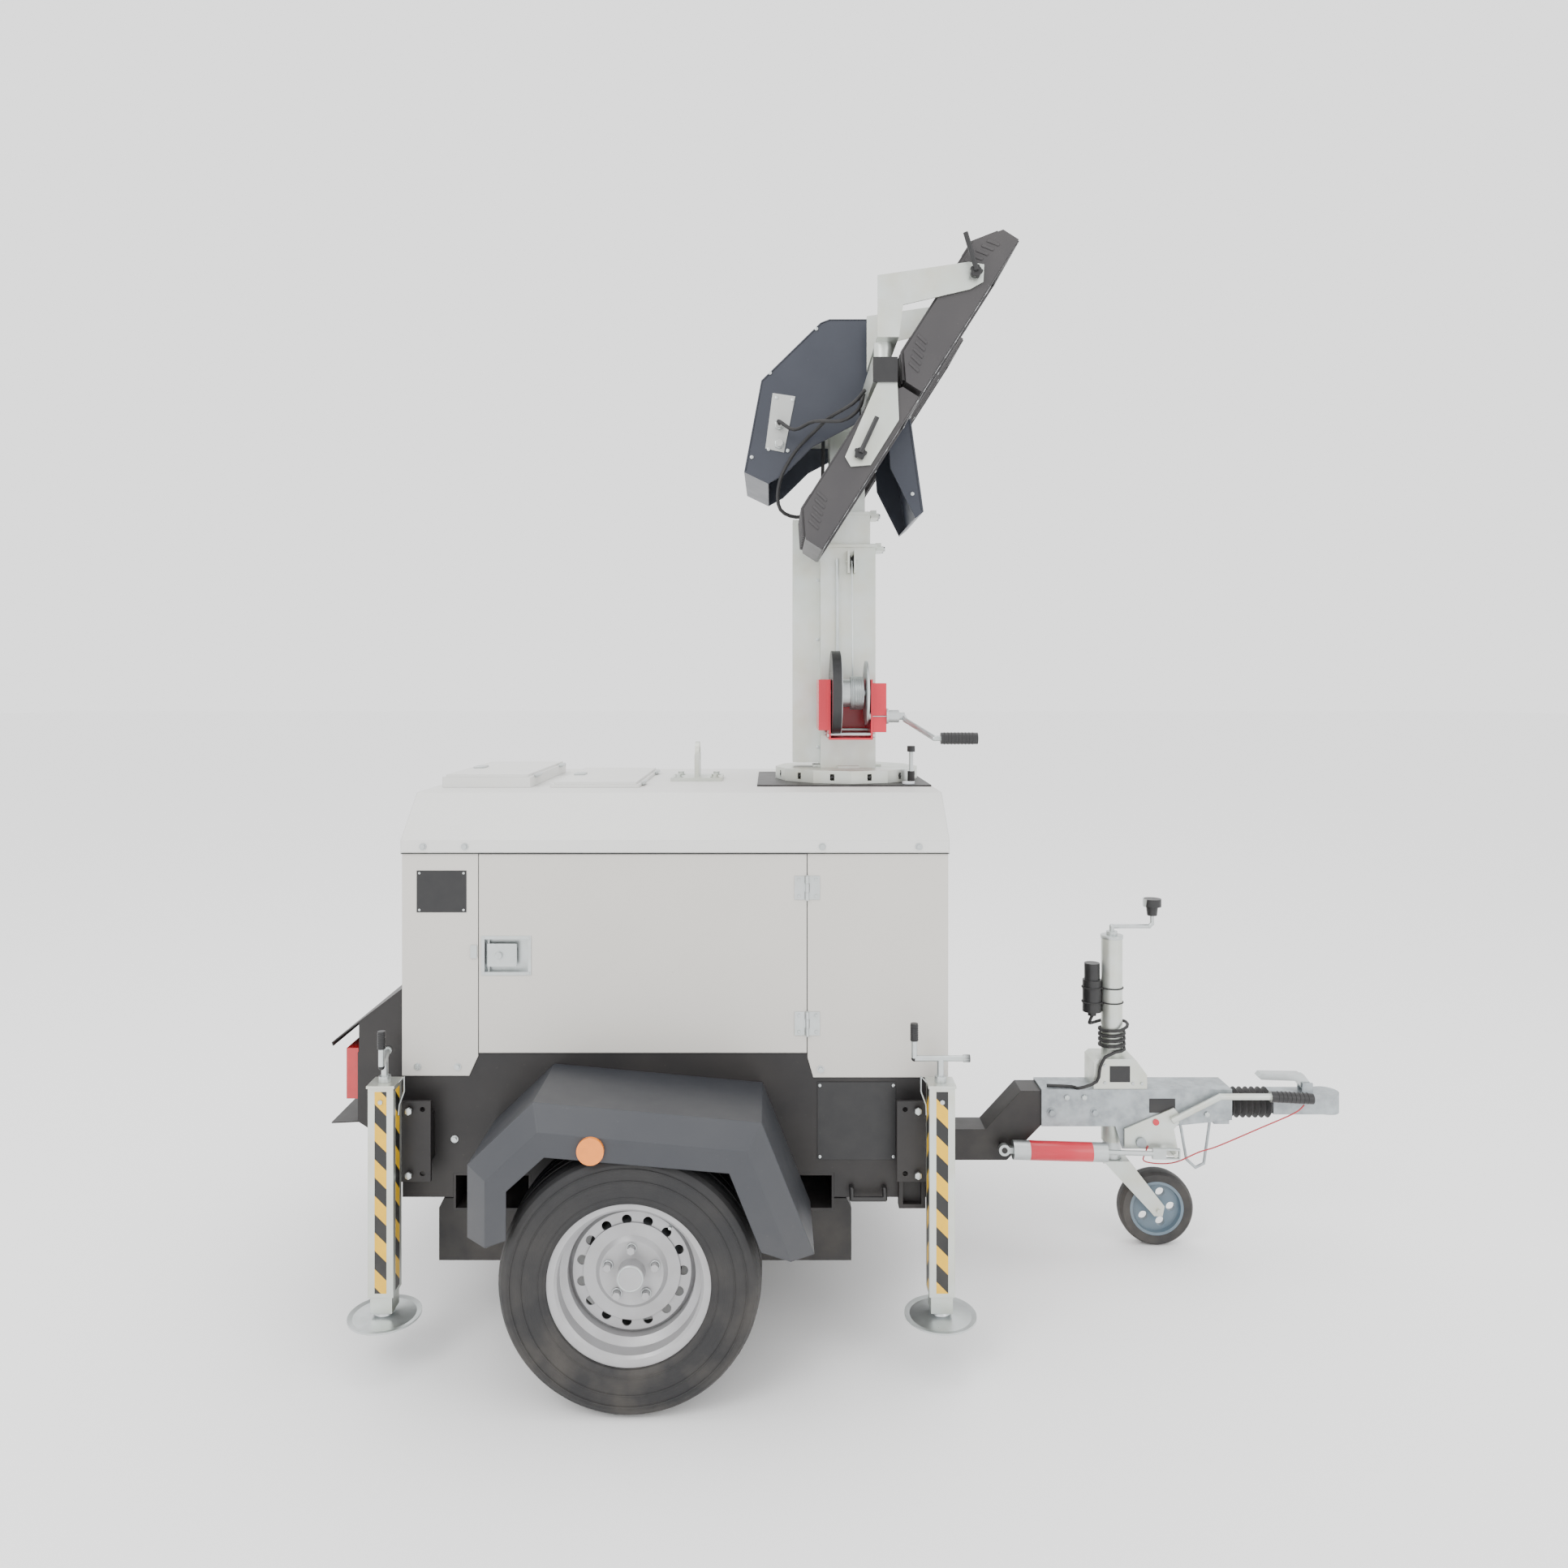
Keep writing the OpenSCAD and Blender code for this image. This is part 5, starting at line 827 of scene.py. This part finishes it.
@dataclass
class Winch:
    """Rope wraps, rims and bolts of the hand winch."""

    def build(self) -> None:
        """Adds the pieces to the winch."""
        wraps = Shape("winch_rope_wraps", BRIGHT)
        for i in range(8):
            wraps.hoop(at(532 + i * 4.2, -200, 1597), Vector((1, 0, 0)), 0.0436, 0.0021, 64)
        wraps.done("winch_drum")
        rims = Shape("winch_cover_rim", BRIGHT)
        rims.hoop(at(502.5, -200, 1597), Vector((1, 0, 0)), 0.1135, 0.0012, 96)
        for y, z in ((-100, 1484), (-100, 1620), (-246, 1484)):
            rims.rod(at(588, y, z), at(593, y, z), 0.007, 6)
            rims.rod(at(470, y, z), at(466, y, z), 0.007, 6)
        rims.rod(at(625, -234, 1535), at(631, -234, 1535), 0.021, 40)
        rims.done("mast_base")
        grip = Shape("winch_grip_ribs", PLASTIC)
        for i in range(9):
            grip.hoop(at(758 + i * 9, -392, 1483), Vector((1, 0, 0)), 0.0148, 0.0014, 32)
        grip.done("winch_crank")


@dataclass
class Head:
    """Seams, screws and cable glands on the head."""

    def build(self) -> None:
        """Adds the pieces to the head."""
        trim = Shape("head_cover_seams", SLATE)
        for s in (-1, 1):
            path = [(245, 2204), (290, 2448), (452, 2606), (476, 2615), (602, 2615), (686, 2386), (726, 2096)]
            trim.wire([at(x, s * 200.6, z) for x, z in path], 0.0016, 8)
        trim.done("mast_head")
        screws = Shape("head_cover_screws", BRIGHT)
        for s in (-1, 1):
            for x, z in ((312, 2470), (438, 2590), (590, 2590), (668, 2380), (700, 2140), (262, 2240), (308, 2262), (330, 2402), (360, 2258), (374, 2396)):
                screws.rod(at(x, s * 199.8, z), at(x, s * 203.6, z), 0.0055, 6)
        for dz in (-24, -76):
            screws.rod(at(337, -203, 2351 + dz), at(337, -210, 2351 + dz), 0.0135, 6)
        screws.done("mast_head")
        knobs = Shape("lamp_clamp_knobs", PLASTIC)
        for s in (-1, 1):
            for x, z in ((529.5, 2177.6), (807.8, 2614.5)):
                for k in range(5):
                    a = 2 * math.pi * k / 5
                    spot = at(x + 12 * math.cos(a), s * 563, z + 12 * math.sin(a))
                    knobs.rod(spot, spot + Vector((0, s * 0.010, 0)), 0.0045, 16)
        knobs.done("mast_head")


@dataclass
class Hitch:
    """Rivets, plates, straps and bolts round the hitch."""

    def build(self) -> None:
        """Adds the pieces to the hitch."""
        steel = Shape("hitch_fittings", BRIGHT)
        for s in (-1, 1):
            for x, z in ((1270, 480), (1270, 530), (1350, 478), (1376, 478)):
                steel.rod(at(x, s * 48, z), at(x, s * 51, z), 0.0045, 16)
            for x, z in ((1160, 440), (1210, 440), (1560, 392), (1600, 440)):
                steel.rod(at(x, s * 51, z), at(x, s * 57, z), 0.008, 6)
        steel.done(TRAILER)
        plate = Shape("hitch_blank_plate", PLASTIC)
        plate.box(at(1284, -49.4, 482), at(1342, -48, 528), 0.0003, 1)
        plate.box(at(1396, -52.2, 396), at(1470, -51, 436), 0.0003, 1)
        plate.done(TRAILER)
        strap = Shape("plug_strap", RUBBER)
        for z in (700, 742):
            strap.hoop(at(1304, 0, z), Vector((0, 0, 1)), 0.0315, 0.002, 40)
            strap.hoop(at(1246.6, 0, z), Vector((0, 0, 1)), 0.0285, 0.002, 40)
        strap.done(TRAILER)
        red = Shape("brake_cylinder_band", RED)
        start, end = at(1046, -81, 301.1), at(1223, -81, 296.3)
        red.rod(start, end, 0.0268, 40)
        red.done("brake_cylinder")
        dot = Shape("handbrake_dot", RED)
        dot.rod(at(1412, -59, 372), at(1412, -63, 372), 0.009, 24)
        dot.done("handbrake")
        grip = Shape("handbrake_grip_ribs", PLASTIC)
        for i in range(8):
            grip.hoop(at(1756 + i * 12, -66.5, 446.6 - i * 0.6), Vector((1, 0, -0.05)), 0.0148, 0.0013, 32)
        grip.done("handbrake")
        collar = Shape("jockey_tube_collar", BRIGHT)
        collar.rod(at(1304, 0, 884), at(1304, 0, 893.5), 0.032, 48)
        collar.done(TRAILER)


# ------------------------------------------------------------------ studio


def studio() -> None:
    """Adds the floor, the lights and the camera."""
    floor = Shape("studio_floor", Finish("studio_floor", "#f4f4f2", roughness=0.7, contrast=0.0, bump=0.0))
    floor.bm.faces.new([floor.bm.verts.new(p) for p in ((-40, -20, 0), (40, -20, 0), (40, 60, 0), (-40, 60, 0))])
    mesh = bpy.data.meshes.new("studio_floor")
    floor.bm.to_mesh(mesh)
    floor.bm.free()
    pale = bpy.data.materials.new("studio_floor")
    pale.use_nodes = True
    pale.node_tree.nodes["Principled BSDF"].inputs["Base Color"].default_value = srgb("#fafafa")
    pale.node_tree.nodes["Principled BSDF"].inputs["Roughness"].default_value = 0.8
    mesh.materials.append(pale)
    ground = bpy.data.objects.new("studio_floor", mesh)
    bpy.context.scene.collection.objects.link(ground)
    ground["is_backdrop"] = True
    world = bpy.data.worlds.new("studio")
    bpy.context.scene.world = world
    world.use_nodes = True
    world.node_tree.nodes["Background"].inputs["Color"].default_value = (1, 1, 1, 1)
    world.node_tree.nodes["Background"].inputs["Strength"].default_value = 1.9
    for name, place, aim, size, power in (
        ("key", (-3.5, -5.0, 5.5), (0, 0, 1.0), 3.0, 200),
        ("fill", (4.5, -4.5, 3.0), (0, 0, 1.0), 3.5, 80),
        ("top", (0.0, 0.5, 6.5), (0, 0, 1.0), 4.0, 110),
    ):
        data = bpy.data.lights.new(name, "AREA")
        data.size = size
        data.energy = power
        light = bpy.data.objects.new(name, data)
        light.location = place
        light.rotation_euler = (Vector(aim) - Vector(place)).to_track_quat("-Z", "Y").to_euler()
        bpy.context.scene.collection.objects.link(light)
    data = bpy.data.cameras.new("camera")
    data.sensor_width = 36
    data.lens = 26.09
    data.shift_x = 0.0083
    data.shift_y = -0.065
    camera = bpy.data.objects.new("camera", data)
    camera.location = (-0.2775, -3.300, 1.627)
    camera.rotation_euler = (math.pi / 2, 0, 0)
    bpy.context.scene.collection.objects.link(camera)
    bpy.context.scene.camera = camera


def plain_bounds() -> list:
    """Gives the model's bounds as plain lists of metres."""
    return [[float(c) for c in corner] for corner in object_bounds()]


def main() -> None:
    """Dresses the frame, adds the pieces and sets up the studio."""
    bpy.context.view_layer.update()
    dress_all()
    for side in (-1, 1):
        Canopy(side).build()
        Wheel(side).build()
        for front in (False, True):
            Stabiliser(front, side).build()
        for row in ("upper", "lower"):
            Lamp(row, side).build()
    for assembly in (Roof(), Mast(), Winch(), Head(), Hitch()):
        assembly.build()
    studio()
    plain_bounds()


if __name__ == "__main__":
    main()
